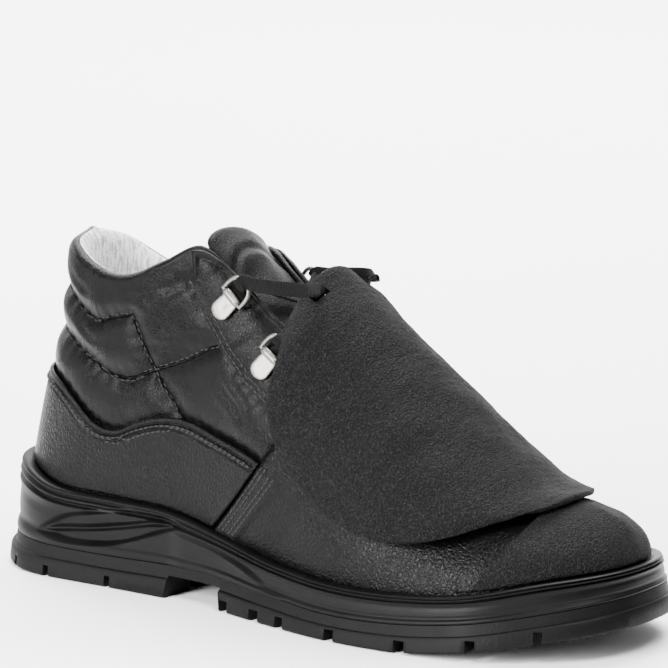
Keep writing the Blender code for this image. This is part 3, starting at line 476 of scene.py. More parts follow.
def make_smudge_group():
    """Broad soft variation and fine specks for colour and roughness."""
    tree, given, result = new_group("smudges", [("Vector", VECTOR, None)], [("Broad", FLOAT), ("Fine", FLOAT)])
    for name, scale in (("Broad", 38.0), ("Fine", 900.0)):
        put(tree, result[name], noise(tree, given["Vector"], scale, 3.0)["Fac"])
    return tree


PEBBLE, GRANULES, SMUDGES = make_pebble_group(), make_granule_group(), make_smudge_group()


def new_material(name, **shader_values):
    """A material with its shader's constants set, returned with its tree, shader and object position."""
    made = bpy.data.materials.new(name)
    made.use_nodes = True
    tree = made.node_tree
    shader = tree.nodes["Principled BSDF"]
    for socket, value in shader_values.items():
        shader.inputs[socket.replace("_", " ")].default_value = value
    return made, tree, shader, add(tree, "ShaderNodeTexCoord").outputs["Object"]


def group(tree, which, **inputs):
    return add(tree, "ShaderNodeGroup", inputs, node_tree=which).outputs


def attribute(tree, name):
    return add(tree, "ShaderNodeAttribute", attribute_name=name).outputs["Fac"]


def grey(level):
    return (level, level, level)


def dress(tree, shader, colour, height, depth, rough=None):
    """Links the colour, the bump, its depth in metres, and perhaps the roughness into the shader."""
    put(tree, shader.inputs["Base Color"], colour)
    if rough is not None:
        put(tree, shader.inputs["Roughness"], rough)
    bump = add(tree, "ShaderNodeBump", {"Height": height, "Distance": depth, "Strength": 1.0})
    put(tree, shader.inputs["Normal"], bump.outputs["Normal"])


# the second black is painted shade for the grain's creases and the seam grooves
LEATHER_BLACK, PAINTED_VALLEY_SHADE = 0.0012, 0.001
SEAM_GROOVE = 0.0008


def leather(name, cell, depth, fine, rough_low, rough_high):
    """Black leather with grain of that cell size and depth, which sinks in where nearness to a seam is high.
    Its grain creases and seam grooves are painted darker as painted shade.
    """
    made, tree, shader, at = new_material(name, Specular_IOR_Level=0.085)
    grain = group(tree, PEBBLE, Vector=at, Cell=cell, Fine=fine)
    broad = group(tree, SMUDGES, Vector=at)["Broad"]
    groove = ramp(tree, attribute(tree, "nearness"), 0.70, 0.98)
    worn = blend_colours(tree, ramp(tree, broad, 0.40, 0.68), grey(LEATHER_BLACK), grey(1.35 * LEATHER_BLACK))
    # painted shade: darker in the grain's creases and in the sunk seam grooves
    colour = blend_colours(tree, math(tree, "MAXIMUM", grain["Valley"], groove), worn, grey(PAINTED_VALLEY_SHADE))
    rough = ramp(tree, broad, 0.30, 0.70, rough_low, rough_high)
    rough = math(tree, "ADD", rough, math(tree, "MULTIPLY", grain["Valley"], 0.12))
    height = math(tree, "SUBTRACT", grain["Height"], math(tree, "MULTIPLY", groove, SEAM_GROOVE / depth))
    dress(tree, shader, colour, height, depth, rough)
    return made


def rough_cover():
    made, tree, shader, at = new_material("rough_cover", Roughness=0.8, Specular_IOR_Level=0.12)
    grit = group(tree, GRANULES, Vector=at, Size=0.0010)
    broad = group(tree, SMUDGES, Vector=at)["Broad"]
    base = blend_colours(tree, ramp(tree, broad, 0.35, 0.70), grey(0.0015), grey(0.0028))
    # painted shade: the low gaps between the granules are painted darker
    dark = blend_colours(tree, grit["Gap"], base, grey(0.001))
    dress(tree, shader, blend_colours(tree, grit["Speck"], dark, grey(0.015)), grit["Height"], 0.0008)
    return made


def rubber(name, colour, rough, cell, depth):
    made, tree, shader, at = new_material(name, Specular_IOR_Level=0.09)
    broad = group(tree, SMUDGES, Vector=at)["Broad"]
    dusty = blend_colours(tree, ramp(tree, broad, 0.40, 0.75), colour, tuple(1.5 * c for c in colour))
    grit = noise(tree, at, 1 / cell)["Fac"]
    dress(tree, shader, dusty, grit, depth, ramp(tree, broad, 0.30, 0.75, rough, rough + 0.14))
    return made


def lining():
    """Pale textile with fine upright streaks: around and up are metres over the collar's inside."""
    finish = {"Roughness": 0.9, "Sheen_Weight": 0.3, "Specular_IOR_Level": 0.2}
    made, tree, shader, at = new_material("grey_textile", **finish)
    across = math(tree, "DIVIDE", attribute(tree, "around"), 0.0012)
    along_up = math(tree, "DIVIDE", attribute(tree, "up"), 0.0065)
    place = add(tree, "ShaderNodeCombineXYZ", {"X": across, "Y": along_up}).outputs["Vector"]
    streak, knit = noise(tree, place, 1.0, 1.0)["Fac"], noise(tree, at, 1300.0)["Fac"]
    share = ramp(tree, math(tree, "ADD", streak, math(tree, "MULTIPLY", knit, 0.4)), 0.56, 0.76)
    colour = blend_colours(tree, share, (0.36, 0.36, 0.37), grey(0.78))
    dress(tree, shader, colour, math(tree, "ADD", streak, knit), 0.0006)
    return made


def woven(name, colour, light):
    """Flat braid: around runs across the lace and up runs along it, both in metres. Its raised strands are
    painted paler as painted highlight.
    """
    made, tree, shader, at = new_material(name, Roughness=0.75, Specular_IOR_Level=0.12)
    across, up = attribute(tree, "around"), attribute(tree, "up")
    slant = math(tree, "ADD", math(tree, "ABSOLUTE", across), up)
    strand = math(tree, "SINE", math(tree, "MULTIPLY", slant, 2 * np.pi / 0.0011))
    rows = math(tree, "SINE", math(tree, "MULTIPLY", across, 2 * np.pi / 0.0009))
    weave = math(tree, "MULTIPLY", strand, rows)
    fuzz = noise(tree, at, 2500.0)["Fac"]
    # painted highlight: paler where the weave's strands stand up
    colour = blend_colours(tree, ramp(tree, weave, -0.6, 0.9), colour, light)
    dress(tree, shader, colour, math(tree, "ADD", weave, fuzz), 0.00035)
    return made


def ring_metal():
    made, tree, shader, at = new_material("ring_metal", Metallic=0.75, Specular_IOR_Level=0.5, Coat_Weight=0.25)
    fine = group(tree, SMUDGES, Vector=at)["Fine"]
    colour = blend_colours(tree, ramp(tree, fine, 0.35, 0.75), (0.13, 0.124, 0.113), (0.20, 0.192, 0.177))
    dress(tree, shader, colour, fine, 0.00006, ramp(tree, fine, 0.30, 0.70, 0.30, 0.44))
    return made


SMOOTH = leather("collar_leather", 0.0013, 0.00005, 0.5, 0.25, 0.32)
PEBBLED = leather("grained_leather", 0.0020, 0.00011, 0.3, 0.27, 0.33)
SOFT_GRAIN = leather("tongue_leather", 0.0014, 0.00007, 0.4, 0.34, 0.40)
COVER = rough_cover()
RUBBER = rubber("sole_rubber", (0.002, 0.002, 0.0021), 0.50, 0.0012, 0.00015)
FOAM = rubber("midsole_foam", (0.002, 0.002, 0.0021), 0.40, 0.0008, 0.00008)
TEXTILE = lining()
METAL = ring_metal()
# the second colour of each braid is painted highlight on its raised strands; the thread is black, so its grey
# is painted highlight too
LACE = woven("lace_yarn", grey(0.0015), (0.007, 0.007, 0.0075))
THREAD = woven("seam_thread", grey(0.010), grey(0.060))
FELT = rubber("insole_felt", (0.30, 0.30, 0.31), 0.85, 0.0008, 0.00020)


# meshes

WELD = 0.00002


def lattice(name, points, materials, faces_of=None, **values):
    """An object from a lattice of points, welded where they meet, with vertex values by name."""
    columns, rows = points.shape[:2]
    bm = bmesh.new()
    bmesh.ops.create_grid(bm, x_segments=columns - 1, y_segments=rows - 1, size=0.5)
    layers = {key: bm.verts.layers.float.new(key) for key in values}
    moved = points + SHIFT
    for vert in bm.verts:
        i, j = round((vert.co.x + 0.5) * (columns - 1)), round((vert.co.y + 0.5) * (rows - 1))
        for key, layer in layers.items():
            vert[layer] = values[key][i, j]
        if faces_of is not None:
            vert.index = i * rows + j
        vert.co = moved[i, j]
    if faces_of is not None:
        for face in bm.faces:
            i, j = divmod(min(vert.index for vert in face.verts), rows)
            face.material_index = int(faces_of(i, j))
    bmesh.ops.remove_doubles(bm, verts=bm.verts, dist=WELD)
    bmesh.ops.recalc_face_normals(bm, faces=bm.faces)
    return as_object(name, bm, materials)


def as_object(name, bm, materials):
    mesh = bpy.data.meshes.new(name)
    bm.to_mesh(mesh)
    bm.free()
    for item in materials:
        mesh.materials.append(item)
    mesh.shade_smooth()
    made = bpy.data.objects.new(name, mesh)
    bpy.context.collection.objects.link(made)
    return made


def crowded(count, margin, steps=5):
    """Shares from 0 to 1 that crowd into the margins, where an edge is rounded."""
    edge = margin * (1 - np.cos(np.linspace(0, np.pi / 2, steps, endpoint=False)))
    return np.concatenate([edge, np.linspace(margin, 1 - margin, count), 1 - edge[::-1]])


def run(points, axis):
    """Distance along the lattice from its first line."""
    steps = np.linalg.norm(np.diff(points, axis=axis), axis=-1)
    start = np.zeros_like(np.take(steps, [0], axis=axis))
    return np.concatenate([start, np.cumsum(steps, axis=axis)], axis=axis)


def sheet(name, face, thickness, material, relief):
    """A closed sheet with rounded edges, its outer face on the lattice. relief lifts both its faces."""
    normal = unit(np.cross(np.gradient(face, axis=0), np.gradient(face, axis=1)))
    around, up = run(face, 0), run(face, 1)
    edge = np.minimum(np.minimum(around, around[-1:] - around), np.minimum(up, up[:, -1:] - up))
    half = np.broadcast_to(thickness, edge.shape) / 2
    rounded = half * np.sqrt(1 - (1 - np.clip(edge / half, 0, 1)) ** 2)
    lifted = relief(face, edge) * np.clip(edge / half, 0, 1)
    centre = face - normal * half[..., None]
    centre = centre + normal * lifted[..., None]
    outer, inner = centre + normal * rounded[..., None], centre - normal * rounded[..., None]
    ring = np.concatenate([outer, inner[:, ::-1]], axis=1)
    around, up = (np.concatenate([values, values[:, ::-1]], 1) for values in (around, up))
    return lattice(name, ring, [material], around=around, up=up)


def settle(piece, nodes):
    """The piece rides on the shoe and stands for those nodes, which are hidden."""
    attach(piece, "root")
    if nodes:
        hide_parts(*nodes)
    return piece


def carve(made, cutters, sharp_angle, bevel_width=0.0):
    """Takes the cutters out of the piece, rounds its edges where a width is given, and bakes the result."""
    for cutter in cutters:
        cut = made.modifiers.new(cutter.name, "BOOLEAN")
        cut.operation = "DIFFERENCE"
        cut.solver = "EXACT"
        cut.object = cutter
    if bevel_width:
        bevel = made.modifiers.new("edges", "BEVEL")
        bevel.width = bevel_width
        bevel.segments = 2
        bevel.limit_method = "ANGLE"
        bevel.angle_limit = np.radians(42)
    baked = bpy.data.meshes.new_from_object(made.evaluated_get(bpy.context.evaluated_depsgraph_get()))
    made.modifiers.clear()
    made.data = baked
    for cutter in cutters:
        bpy.data.objects.remove(cutter)
    baked.shade_smooth()
    baked.set_sharp_from_angle(angle=np.radians(sharp_angle))


def bump_at(values, centre, width):
    return np.exp(-(((values - centre) / width) ** 2))


def undulation(points, seed, amplitude, length):
    """Broad smooth unevenness of the surface."""
    rng = np.random.default_rng(seed)
    total = np.zeros(points.shape[:-1])
    for _ in range(7):
        direction = rng.normal(size=3)
        wave = 2 * np.pi / (length * rng.uniform(0.6, 1.6))
        total += np.sin(points @ (direction / np.linalg.norm(direction)) * wave + rng.uniform(0, 6.3))
    return total * amplitude / 3


def nearest_on(points, line):
    """Distance of each point from a line of points, and how far along the line its nearest place is."""
    flat = points.reshape(-1, 3)
    best = np.full(len(flat), 1e9)
    at = np.zeros(len(flat))
    lengths = np.concatenate([[0], np.cumsum(np.linalg.norm(np.diff(line, axis=0), axis=1))])
    for a, b, start in zip(line[:-1], line[1:], lengths):
        step = b - a
        t = np.clip((flat - a) @ step / (step @ step), 0, 1)
        gap = np.linalg.norm(flat - a - t[:, None] * step, axis=1)
        closer = gap < best
        best, at = np.where(closer, gap, best), np.where(closer, start + t * np.linalg.norm(step), at)
    return best.reshape(points.shape[:-1]), at.reshape(points.shape[:-1])


def smooth_line(knots, count):
    """A smooth curve through rows of values, by their running distance."""
    knots = np.array(knots, float)
    at = np.concatenate([[0], np.cumsum(np.linalg.norm(np.diff(knots, axis=0), axis=1))])
    rows = {"at": at}
    rows.update({str(i): knots[:, i] for i in range(knots.shape[1])})
    spots = np.linspace(0, at[-1], count)
    return np.stack([along(rows, str(i), spots) for i in range(knots.shape[1])], -1)


# quilting and creases of the collar, as (share of the half turn, v) on the outer side
QUILT_A = [(-0.02, 0.835), (0.097, 0.818), (0.141, 0.801), (0.192, 0.783), (0.23, 0.776), (0.273, 0.805),
           (0.317, 0.820)]
QUILT_B = [(0.317, 0.816), (0.335, 0.713), (0.355, 0.588), (0.366, 0.522), (0.377, 0.467), (0.388, 0.400)]
QUILT_C = [(-0.02, 0.650), (0.095, 0.640), (0.177, 0.625), (0.228, 0.603), (0.273, 0.559), (0.310, 0.544),
           (0.350, 0.573), (0.390, 0.610), (0.439, 0.673)]
EYESTAY_EDGE = [(0.405, 0.905), (0.413, 0.871), (0.426, 0.776), (0.444, 0.695), (0.466, 0.636), (0.493, 0.585),
                (0.520, 0.540)]
# seams of the collar: line, depth and reach in mm
SEAMS = [(QUILT_A, 2.0, 9.0), (QUILT_B, 1.9, 9.0), (QUILT_C, 2.1, 9.0)]
WAVE_SEAM = (0.5, 8.0)
EYESTAY_SEAM = (0.6, 8.0)
SWELL = 1.9 * MM
BLEND = 0.25 * MM
PUCKER = 0.20 * MM
PUCKER_LENGTH = 6.3 * MM
CREASE_GAIN = 1.5
QUARTER_END = QUARTER_FRONT["share"][-1]
# listed creases: depth in mm, half width in mm, points
CREASES = [
    (0.7, 1.6, [(0.392, 0.935), (0.402, 0.905), (0.414, 0.880)]),
    (0.5, 1.4, [(0.404, 0.965), (0.410, 0.925), (0.415, 0.890)]),
    (0.6, 1.8, [(0.370, 0.900), (0.392, 0.890), (0.412, 0.878)]),
    (0.4, 1.6, [(0.382, 0.840), (0.400, 0.850), (0.414, 0.862)]),
    (0.5, 2.2, [(0.300, 0.905), (0.335, 0.890), (0.360, 0.868)]),
    (0.4, 2.0, [(0.405, 0.690), (0.425, 0.700), (0.440, 0.700)]),
    (0.4, 1.8, [(0.350, 0.690), (0.375, 0.665), (0.405, 0.660)]),
    (0.5, 2.0, [(0.440, 0.560), (0.462, 0.520), (0.478, 0.470)]),
    (0.4, 1.6, [(0.455, 0.590), (0.474, 0.550), (0.487, 0.500)]),
    (0.4, 2.2, [(0.120, 0.910), (0.160, 0.890), (0.200, 0.880)]),
    (0.3, 1.6, [(0.180, 0.730), (0.215, 0.700), (0.250, 0.690)]),
]


def on_skin(knots, side, count=60):
    line = smooth_line(knots, count)
    return skin(side * line[:, 0] * np.pi, line[:, 1])


def wave_line(side, count):
    turn = side * np.linspace(0, QUARTER_END, count) * np.pi
    return skin(turn, where(turn, below_line(WAVE)))


def collar_relief(points):
    """How far the padded collar swells between its seams and sinks into them."""
    lines = []
    for side in (1, -1):
        lines += [(on_skin(knots, side), depth, reach) for knots, depth, reach in SEAMS]
        lines += [(wave_line(side, 80), *WAVE_SEAM), (on_skin(EYESTAY_EDGE, side), *EYESTAY_SEAM)]
    total = np.zeros(points.shape[:-1])
    for line, depth, reach in lines:
        gap, at = nearest_on(points, line)
        lift = SWELL - (SWELL + depth * MM) * np.exp(-((gap / (reach * MM)) ** 1.15) * 1.6)
        wobble = np.sin(2 * np.pi * at / PUCKER_LENGTH + 2 * np.sin(at / (9 * MM)))
        total += np.exp(-(lift + PUCKER * np.exp(-gap / (4 * MM)) * wobble) / BLEND)
    return -np.log(total) * BLEND


def crease_relief(points):
    """The listed creases, each with a low ridge beside it."""
    total = np.zeros(points.shape[:-1])
    for depth, half, knots in CREASES:
        for side in (1, -1):
            gap, at = nearest_on(points, on_skin(knots, side, 16))
            length = np.max(at) + 1e-9
            ends = np.clip(4 * np.minimum(at, length - at) / length + 0.15, 0, 1)
            ridge = 0.45 * depth * bump_at(gap, 2.2 * half * MM, 1.2 * half * MM)
            total += CREASE_GAIN * ends * (-depth * bump_at(gap, 0, half * MM) + ridge)
    return total * MM


FRONT_COLUMNS = np.concatenate([
    np.linspace(0, 0.50, 226, endpoint=False),
    np.linspace(0.50, 0.62, 26, endpoint=False),
    np.linspace(0.62, 1, 32),
])
OUTER_ROWS = np.concatenate([[-1, -0.4], np.linspace(0, 1, 112)])[None, :]
LINING_ROWS = np.linspace(1, -0.95, 30)[None, :]
STRIP_BACK, STRIP_FRONT, STRIP_HEIGHT = 0.003, 0.033, 0.0007
FLUSH_FRONT, FLUSH_TOP = 0.070, 1.5


def section_length(turn):
    """Length of the skin's section per unit of v near its top."""
    one = np.ones_like(turn)
    return np.linalg.norm(skin(turn, one) - skin(turn, 0.9 * one), axis=-1) / 0.1


def ahead_of_quarter(turn, v):
    """How far places lie ahead of the quarter's front edge, in shares of the half turn, and how high up it."""
    last = np.clip(turn, -QUARTER_END * np.pi, QUARTER_END * np.pi)
    bottom = above_rim(turn)
    w = (v - bottom) / (where(last, below_line(WAVE)) - bottom)
    front = along(QUARTER_FRONT, "share", np.clip(w, 0, 1))
    return half_share(turn) - front - 0.067 * np.clip(w - 1, 0, 0.5), w


def shell_relief(turn, v, top, ahead, w):
    """How far the shell's outer face stands off the skin."""
    points = skin(turn, v)
    padded = np.clip((0.535 - half_share(turn)) / 0.05, 0, 1) * np.clip((points[..., 2] - 0.045) / 0.012, 0, 1)
    under_quarter = below_line(WAVE)(points) > 0.0035
    cells = collar_relief(points) * padded * np.where(under_quarter, 0, 1)
    relief = cells + crease_relief(points) * np.clip(padded * 3, 0, 1)
    relief = relief * np.clip((top - v) / 0.12, 0, 1) + undulation(points, 5, 0.22 * MM, 0.022) * padded
    # the vamp lies flush with the heel quarter along their seam, with a raised strip for its stitches
    flush = np.clip(ahead / STRIP_BACK, 0, 1) * np.clip((FLUSH_FRONT - ahead) / 0.040, 0, 1)
    flush = flush * np.clip((FLUSH_TOP - w) / 0.1, 0, 1)
    strip = np.clip((ahead - STRIP_BACK) / 0.0025, 0, 1) * np.clip((STRIP_FRONT - ahead) / 0.0025, 0, 1)
    return relief + flush * (PANEL_GAP + PANEL_WALL + STRIP_HEIGHT * strip)


def seam_nearness(points):
    """From 0 away from the collar's quilting to 1 on it."""
    near = np.zeros(points.shape[:2])
    for side in (1, -1):
        for knots in (QUILT_A, QUILT_B, QUILT_C):
            gap, _ = nearest_on(points, on_skin(knots, side))
            near = np.maximum(near, np.clip(1 - gap / 0.003, 0, 1))
    return near


def make_upper():
    """The leather shell with its swollen collar, turned over at the top into the lining."""
    turn = np.concatenate([FRONT_COLUMNS, -FRONT_COLUMNS[-2::-1]])[:, None] * np.pi
    radius = wall(turn, np.ones_like(turn)) / 2
    top = 1 - radius / section_length(turn)
    v = np.where(OUTER_ROWS > 0, OUTER_ROWS * top, OUTER_ROWS)
    turns = np.broadcast_to(turn, v.shape)
    ahead, w = ahead_of_quarter(turn, v)
    outer = over_skin(turns, v, shell_relief(turns, v, top, ahead, w)[..., None])

    normal = normal_of(turn, top)
    up = unit(skin(turn, top + 0.001) - skin(turn, top - 0.001))
    centre = skin(turn, top) - normal * radius[..., None]
    angles = np.linspace(0, np.pi, 13)[None, 1:-1, None]
    roll = centre + radius[..., None] * (np.cos(angles) * normal + np.sin(angles) * up)

    inner_v = np.where(LINING_ROWS > 0, LINING_ROWS * top, LINING_ROWS)
    inner_turns = np.broadcast_to(turn, inner_v.shape)
    inner = under_skin(inner_turns, inner_v, wall(inner_turns, inner_v))
    swell = undulation(inner, 9, 0.35 * MM, 0.018) * np.clip(1 - inner_v, 0, 0.3) / 0.3
    inner = inner + normal_of(inner_turns, inner_v) * swell[..., None]

    ring = np.concatenate([outer, roll, inner, outer[:, :1]], axis=1)
    around = np.broadcast_to(run(outer[:, 60:61], 0), ring.shape[:2])
    count = outer.shape[1]
    nearness = np.zeros(ring.shape[:2])
    nearness[:, :count] = seam_nearness(skin(turns, v))
    sides = half_share(turn)[:, 0]

    def faces_of(i, j):
        """0 for smooth leather, 1 for the grained vamp and 2 for the lining."""
        i = min(i, len(sides) - 1)
        if j >= count + 6 and (sides[i] < 0.432 or j > count + 16):
            return 2
        return j < count - 1 and ahead[i, j] > 0 and (sides[i] > 0.53 or w[i, j] < FLUSH_TOP)

    values = {"around": around, "up": run(ring, 1), "nearness": nearness}
    made = lattice("upper_shell", ring, [SMOOTH, PEBBLED, TEXTILE], faces_of, **values)
    return settle(made, ["upper"])


upper = make_upper()


def near_edge(edge, at, width, depth):
    """A groove at that distance from the sheet's edge."""
    return -depth * bump_at(edge, at, width)


def on_grid(us, ws):
    return np.meshgrid(us, ws, indexing="ij")


def make_quarter():
    front_columns = np.concatenate([np.linspace(0.004, 0.034, 36), np.linspace(0.966, 0.996, 36)])
    u, w = on_grid(np.union1d(crowded(280, 0.004), front_columns),
                   np.union1d(crowded(44, 0.02), np.linspace(0.78, 0.98, 36)))
    turn = (2 * u - 1) * along(QUARTER_FRONT, "share", w) * np.pi
    bottom, top = above_rim(turn), where(turn, below_line(WAVE))
    face = over_skin(turn, bottom + (top - bottom) * w, PANEL_GAP + PANEL_WALL)

    def relief(points, edge):
        """Two sunk rows with a low swell between them, under the waved top edge."""
        from_top = run(points, 1)[:, -1:] - run(points, 1)
        rows = near_edge(from_top, 0.0028, 0.0006, 0.0004) + near_edge(from_top, 0.0058, 0.0006, 0.0004)
        swell = 0.0004 * bump_at(from_top, 0.0043, 0.0009)
        return (rows + swell) * np.clip((w - 0.5) / 0.2, 0, 1) + undulation(points, 3, 0.25 * MM, 0.03)

    made = sheet("heel_quarter_leather", face, PANEL_WALL, PEBBLED, relief)
    return settle(made, ["heel_quarter"])


def make_eyestay(name, node, side):
    u, w = on_grid(crowded(90, 0.01), crowded(60, 0.012))
    share = EYESTAY_TOP + (EYESTAY_END - EYESTAY_TOP) * (u if side > 0 else 1 - u)
    turn = side * share * np.pi
    back = where(turn, below_line(EYESTAY_BACK))
    face = over_skin(turn, back + (0.985 - back) * w, PANEL_GAP + PANEL_WALL)

    def relief(points, edge):
        fold = (0.0005 * bump_at(edge, 0.0014, 0.0011) + near_edge(edge, 0.0034, 0.0009, 0.0003)) * (w > 0.5)
        return fold + undulation(points, 21, 0.28 * MM, 0.014)

    return settle(sheet(name, face, PANEL_WALL, SMOOTH, relief), [node])


def make_toe_cap():
    u, w = on_grid(crowded(170, 0.006), crowded(60, 0.012))
    turn = (CAP_CORNER + 2 * (1 - CAP_CORNER) * u) * np.pi
    bottom = above_rim(turn)
    rear = np.maximum(where(turn, ahead_of_cap), bottom + 0.01)
    face = over_skin(turn, bottom + (rear - bottom) * w, PANEL_GAP + CAP_WALL)

    def relief(points, edge):
        return undulation(points, 33, 0.18 * MM, 0.012)

    return settle(sheet("toe_cap_cover", face, CAP_WALL, COVER, relief), ["toe_cap"])


def slot_frame(side):
    """Frame of one of the flap's slots: x along the slot, z out of the flap."""
    u, w, nudge = np.array(0.5 - side * SLOT_ACROSS), np.array(SLOT_UP), 0.01
    along_slot = flap(u + nudge, w) - flap(u - nudge, w)
    up = flap(u, w + nudge) - flap(u, w - nudge)
    return frame_at(flap(u, w), along_slot, np.cross(along_slot, up))


def frame_at(place, x, z):
    """A matrix at a place, with its x direction kept and z made square to it."""
    x, z = Vector(x).normalized(), Vector(z)
    z = (z - x * z.dot(x)).normalized()
    made = Matrix((x, z.cross(x), z)).transposed().to_4x4()
    made.translation = Vector(place)
    return made


def make_flap():
    u, w = on_grid(crowded(150, 0.02), crowded(190, 0.012))
    face = flap(u, w)
    thickness = FLAP_FRONT_WALL + (FLAP_WALL - FLAP_FRONT_WALL) * np.clip(w / 0.3, 0, 1)

    def relief(points, edge):
        return undulation(points, 41, 0.30 * MM, 0.02) + undulation(points, 42, 0.10 * MM, 0.004)

    made = sheet("metatarsal_flap_cover", face, thickness, COVER, relief)
    cuts = bmesh.new()
    size = Matrix.Diagonal((LACE_WIDTH + 4 * LACE_GAP, SLOT_HEIGHT, 3 * FLAP_WALL, 1))
    for side in (1, -1):
        place = Matrix.Translation(Vector(SHIFT)) @ slot_frame(side)
        bmesh.ops.create_cube(cuts, size=1, matrix=place @ size)
    cutter = as_object("slot_cuts", cuts, [COVER])
    carve(made, [cutter], 50)
    return settle(made, ["metatarsal_flap"])


def make_tongue():
    u, w = on_grid(crowded(110, 0.03, 6), crowded(110, 0.035, 6))
    face = tongue(u, w)

    def relief(points, edge):
        line = tongue(np.linspace(0.25, 0.75, 30), np.full(30, 0.80))
        gap, _ = nearest_on(points, line)
        fold = -0.4 * MM * bump_at(gap, 0, 1.8 * MM) + 0.25 * MM * bump_at(gap, 4 * MM, 2.5 * MM)
        return fold + undulation(points, 51, 0.45 * MM, 0.020)

    made = sheet("tongue_leather", face, TONGUE_WALL, SOFT_GRAIN, relief)
    settle(made, ["tongue"])
    return made


quarter = make_quarter()
eyestays = [make_eyestay("eyestay_outer_leather", "eyestay_outer", 1),
            make_eyestay("eyestay_inner_leather", "eyestay_inner", -1)]
make_toe_cap()
make_flap()
tongue_piece = make_tongue()


# sole

def side_relief(x, z):
    """How far the midsole's side is pressed in at this point of the side view."""
    station = x / SOLE_LENGTH
    middle, half = along(RECESS, "middle", station), np.maximum(along(RECESS, "half", station), 0)
    off = np.abs(z / HEEL_HEIGHT - middle)
    inside = np.clip((half - off) / 0.05, 0, 1) * (station > RECESS["at"][0]) * (station < RECESS["at"][-1])
    rib = np.clip(1 - off / 0.045, 0, 1) * 0.6
    under = np.clip((along(SHOULDER, "z", station) - z / HEEL_HEIGHT) / 0.05, 0, 1)
    waist = np.clip((station - 0.33) / 0.03, 0, 1) * np.clip((0.56 - station) / 0.03, 0, 1)
    return inside * (1 - rib) * RECESS_DEPTH - under * waist * SHOULDER_STEP


def midsole_side(turn, share):
    """Points of the midsole's side: share is 0 on the outsole and 1 at the rim."""
    inset = MIDSOLE_FLARE + along(SIDE, "in", share) * MM
    x, _, station = outline(turn, inset)
    low, high = height("wrap", station) + SEAT_GAP, height("lip", station)
    z = low + (high - low) * share
    x, y, _ = outline(turn, inset + side_relief(x, z))
    return np.stack([x, y, z], -1)


def loft(profile, count):
    """Lattice of closed sections across the shoe: profile(turn) gives one side's points from bottom to top."""
    turn = np.linspace(0, np.pi, count)
    outer, inner = profile(turn), profile(-turn)[::-1]
    return np.stack(outer + inner + outer[:1], axis=1)


def midsole_profile(turn):
    """Underside, side, rim and the cup that holds the upper."""
    inner = UPPER_INSET - CUP_GAP
    under = [on_outline(turn, CHANNEL_INSET, "wrap", SEAT_GAP)]
    side = [midsole_side(turn, np.full_like(turn, share)) for share in np.linspace(0, 0.985, 66)]
    rim = [on_outline(turn, RIM_INSET + share * RIM_WIDTH, "lip", -drop) for share, drop in
           ((0.12, 0.0), (0.35, 0.0001), (0.6, 0.0002))]
    cup = [on_outline(turn, inner, "lip", -0.15 * RIM_DEPTH), on_outline(turn, inner, "bed"),
           on_outline(turn, CHANNEL_INSET, "bed")]
    return under + side + rim + cup


def make_midsole():
    return settle(lattice("midsole_body", loft(midsole_profile, 260), [FOAM]), ["midsole"])


def outsole_profile(turn):
    """Tread, lug band that stands proud, and the wall that meets the midsole."""
    _, _, station = outline(turn)
    band = 0.62 * (height("wrap", station) - height("tread", station))
    return [
        on_outline(turn, CHANNEL_INSET / 2, "tread"),
        on_outline(turn, 0.0016, "tread"),
        on_outline(turn, 0.0005, "tread", 0.0003),
        on_outline(turn, 0, "tread", 0.0012),
        on_outline(turn, 0.0006, "tread", band - 0.0012),
        on_outline(turn, 0.0012, "tread", band - 0.0003),
        on_outline(turn, LUG_PROUD, "tread", band),
        on_outline(turn, MIDSOLE_FLARE, "wrap"),
        on_outline(turn, CHANNEL_INSET, "wrap"),
    ]


def add_block(bm, centre, size, heading=0.0):
    placed = Matrix.Translation(centre) @ Matrix.Rotation(heading, 4, "Z") @ Matrix.Diagonal((*size, 1))
    bmesh.ops.create_cube(bm, size=1, matrix=placed)


def side_cutter(bm):
    for station, width in GROOVES:
        for side in (1, -1):
            turn = side * np.arccos(1 - 2 * station)
            (x0, x1), (y0, y1), _ = outline(np.array([turn - 0.01, turn + 0.01]))
            length = CHANNEL_INSET + 2 * LUG_PROUD + CUT_OVERLAP
            outward = Vector((y1 - y0, x0 - x1, 0)).normalized()
            middle = Vector(((x0 + x1) / 2, (y0 + y1) / 2, height("tread", station)))
            centre = middle - outward * (length / 2 - 2 * LUG_PROUD)
            add_block(bm, centre, (length, width * MM, 2 * LUG_DEPTH), np.arctan2(outward.y, outward.x))


def centre_cutter(bm):
    inset = CHANNEL_INSET - CUT_OVERLAP
    for station, width in CENTRE_GROOVES:
        x = station * SOLE_LENGTH
        turn = np.arccos(1 - 2 * (x - inset) / (SOLE_LENGTH - 2 * inset))
        low, high = outline(turn, inset)[1], outline(-turn, inset)[1]
        centre = Vector((x, (low + high) / 2, height("tread", station)))
        add_block(bm, centre, (width * MM, high - low, 1.9 * LUG_DEPTH))


def arch_cutter(bm):
    back, front = ARCH_BACK * SOLE_LENGTH, ARCH_FRONT * SOLE_LENGTH
    rise = ARCH_RISE * HEEL_HEIGHT
    add_block(bm, Vector(((back + front) / 2, 0, 0)), (front - back, 2 * BALL_WIDTH, 2 * rise))
    slope = 0.3 * rise
    for vert in bm.verts:
        if vert.co.z < 0:
            vert.co.x += slope if vert.co.x > (back + front) / 2 else -slope


def channel_ring():
    turn = np.linspace(0, 2 * np.pi, 161)
    lines = []
    for across, up in ((-0.5, -1), (0.5, -1), (0.5, 1), (-0.5, 1), (-0.5, -1)):
        x, y, station = outline(turn, CHANNEL_INSET + across * CHANNEL_WIDTH)
        lines.append(np.stack([x, y, height("tread", station) + up * 0.8 * LUG_DEPTH], -1))
    return np.stack(lines, axis=1)


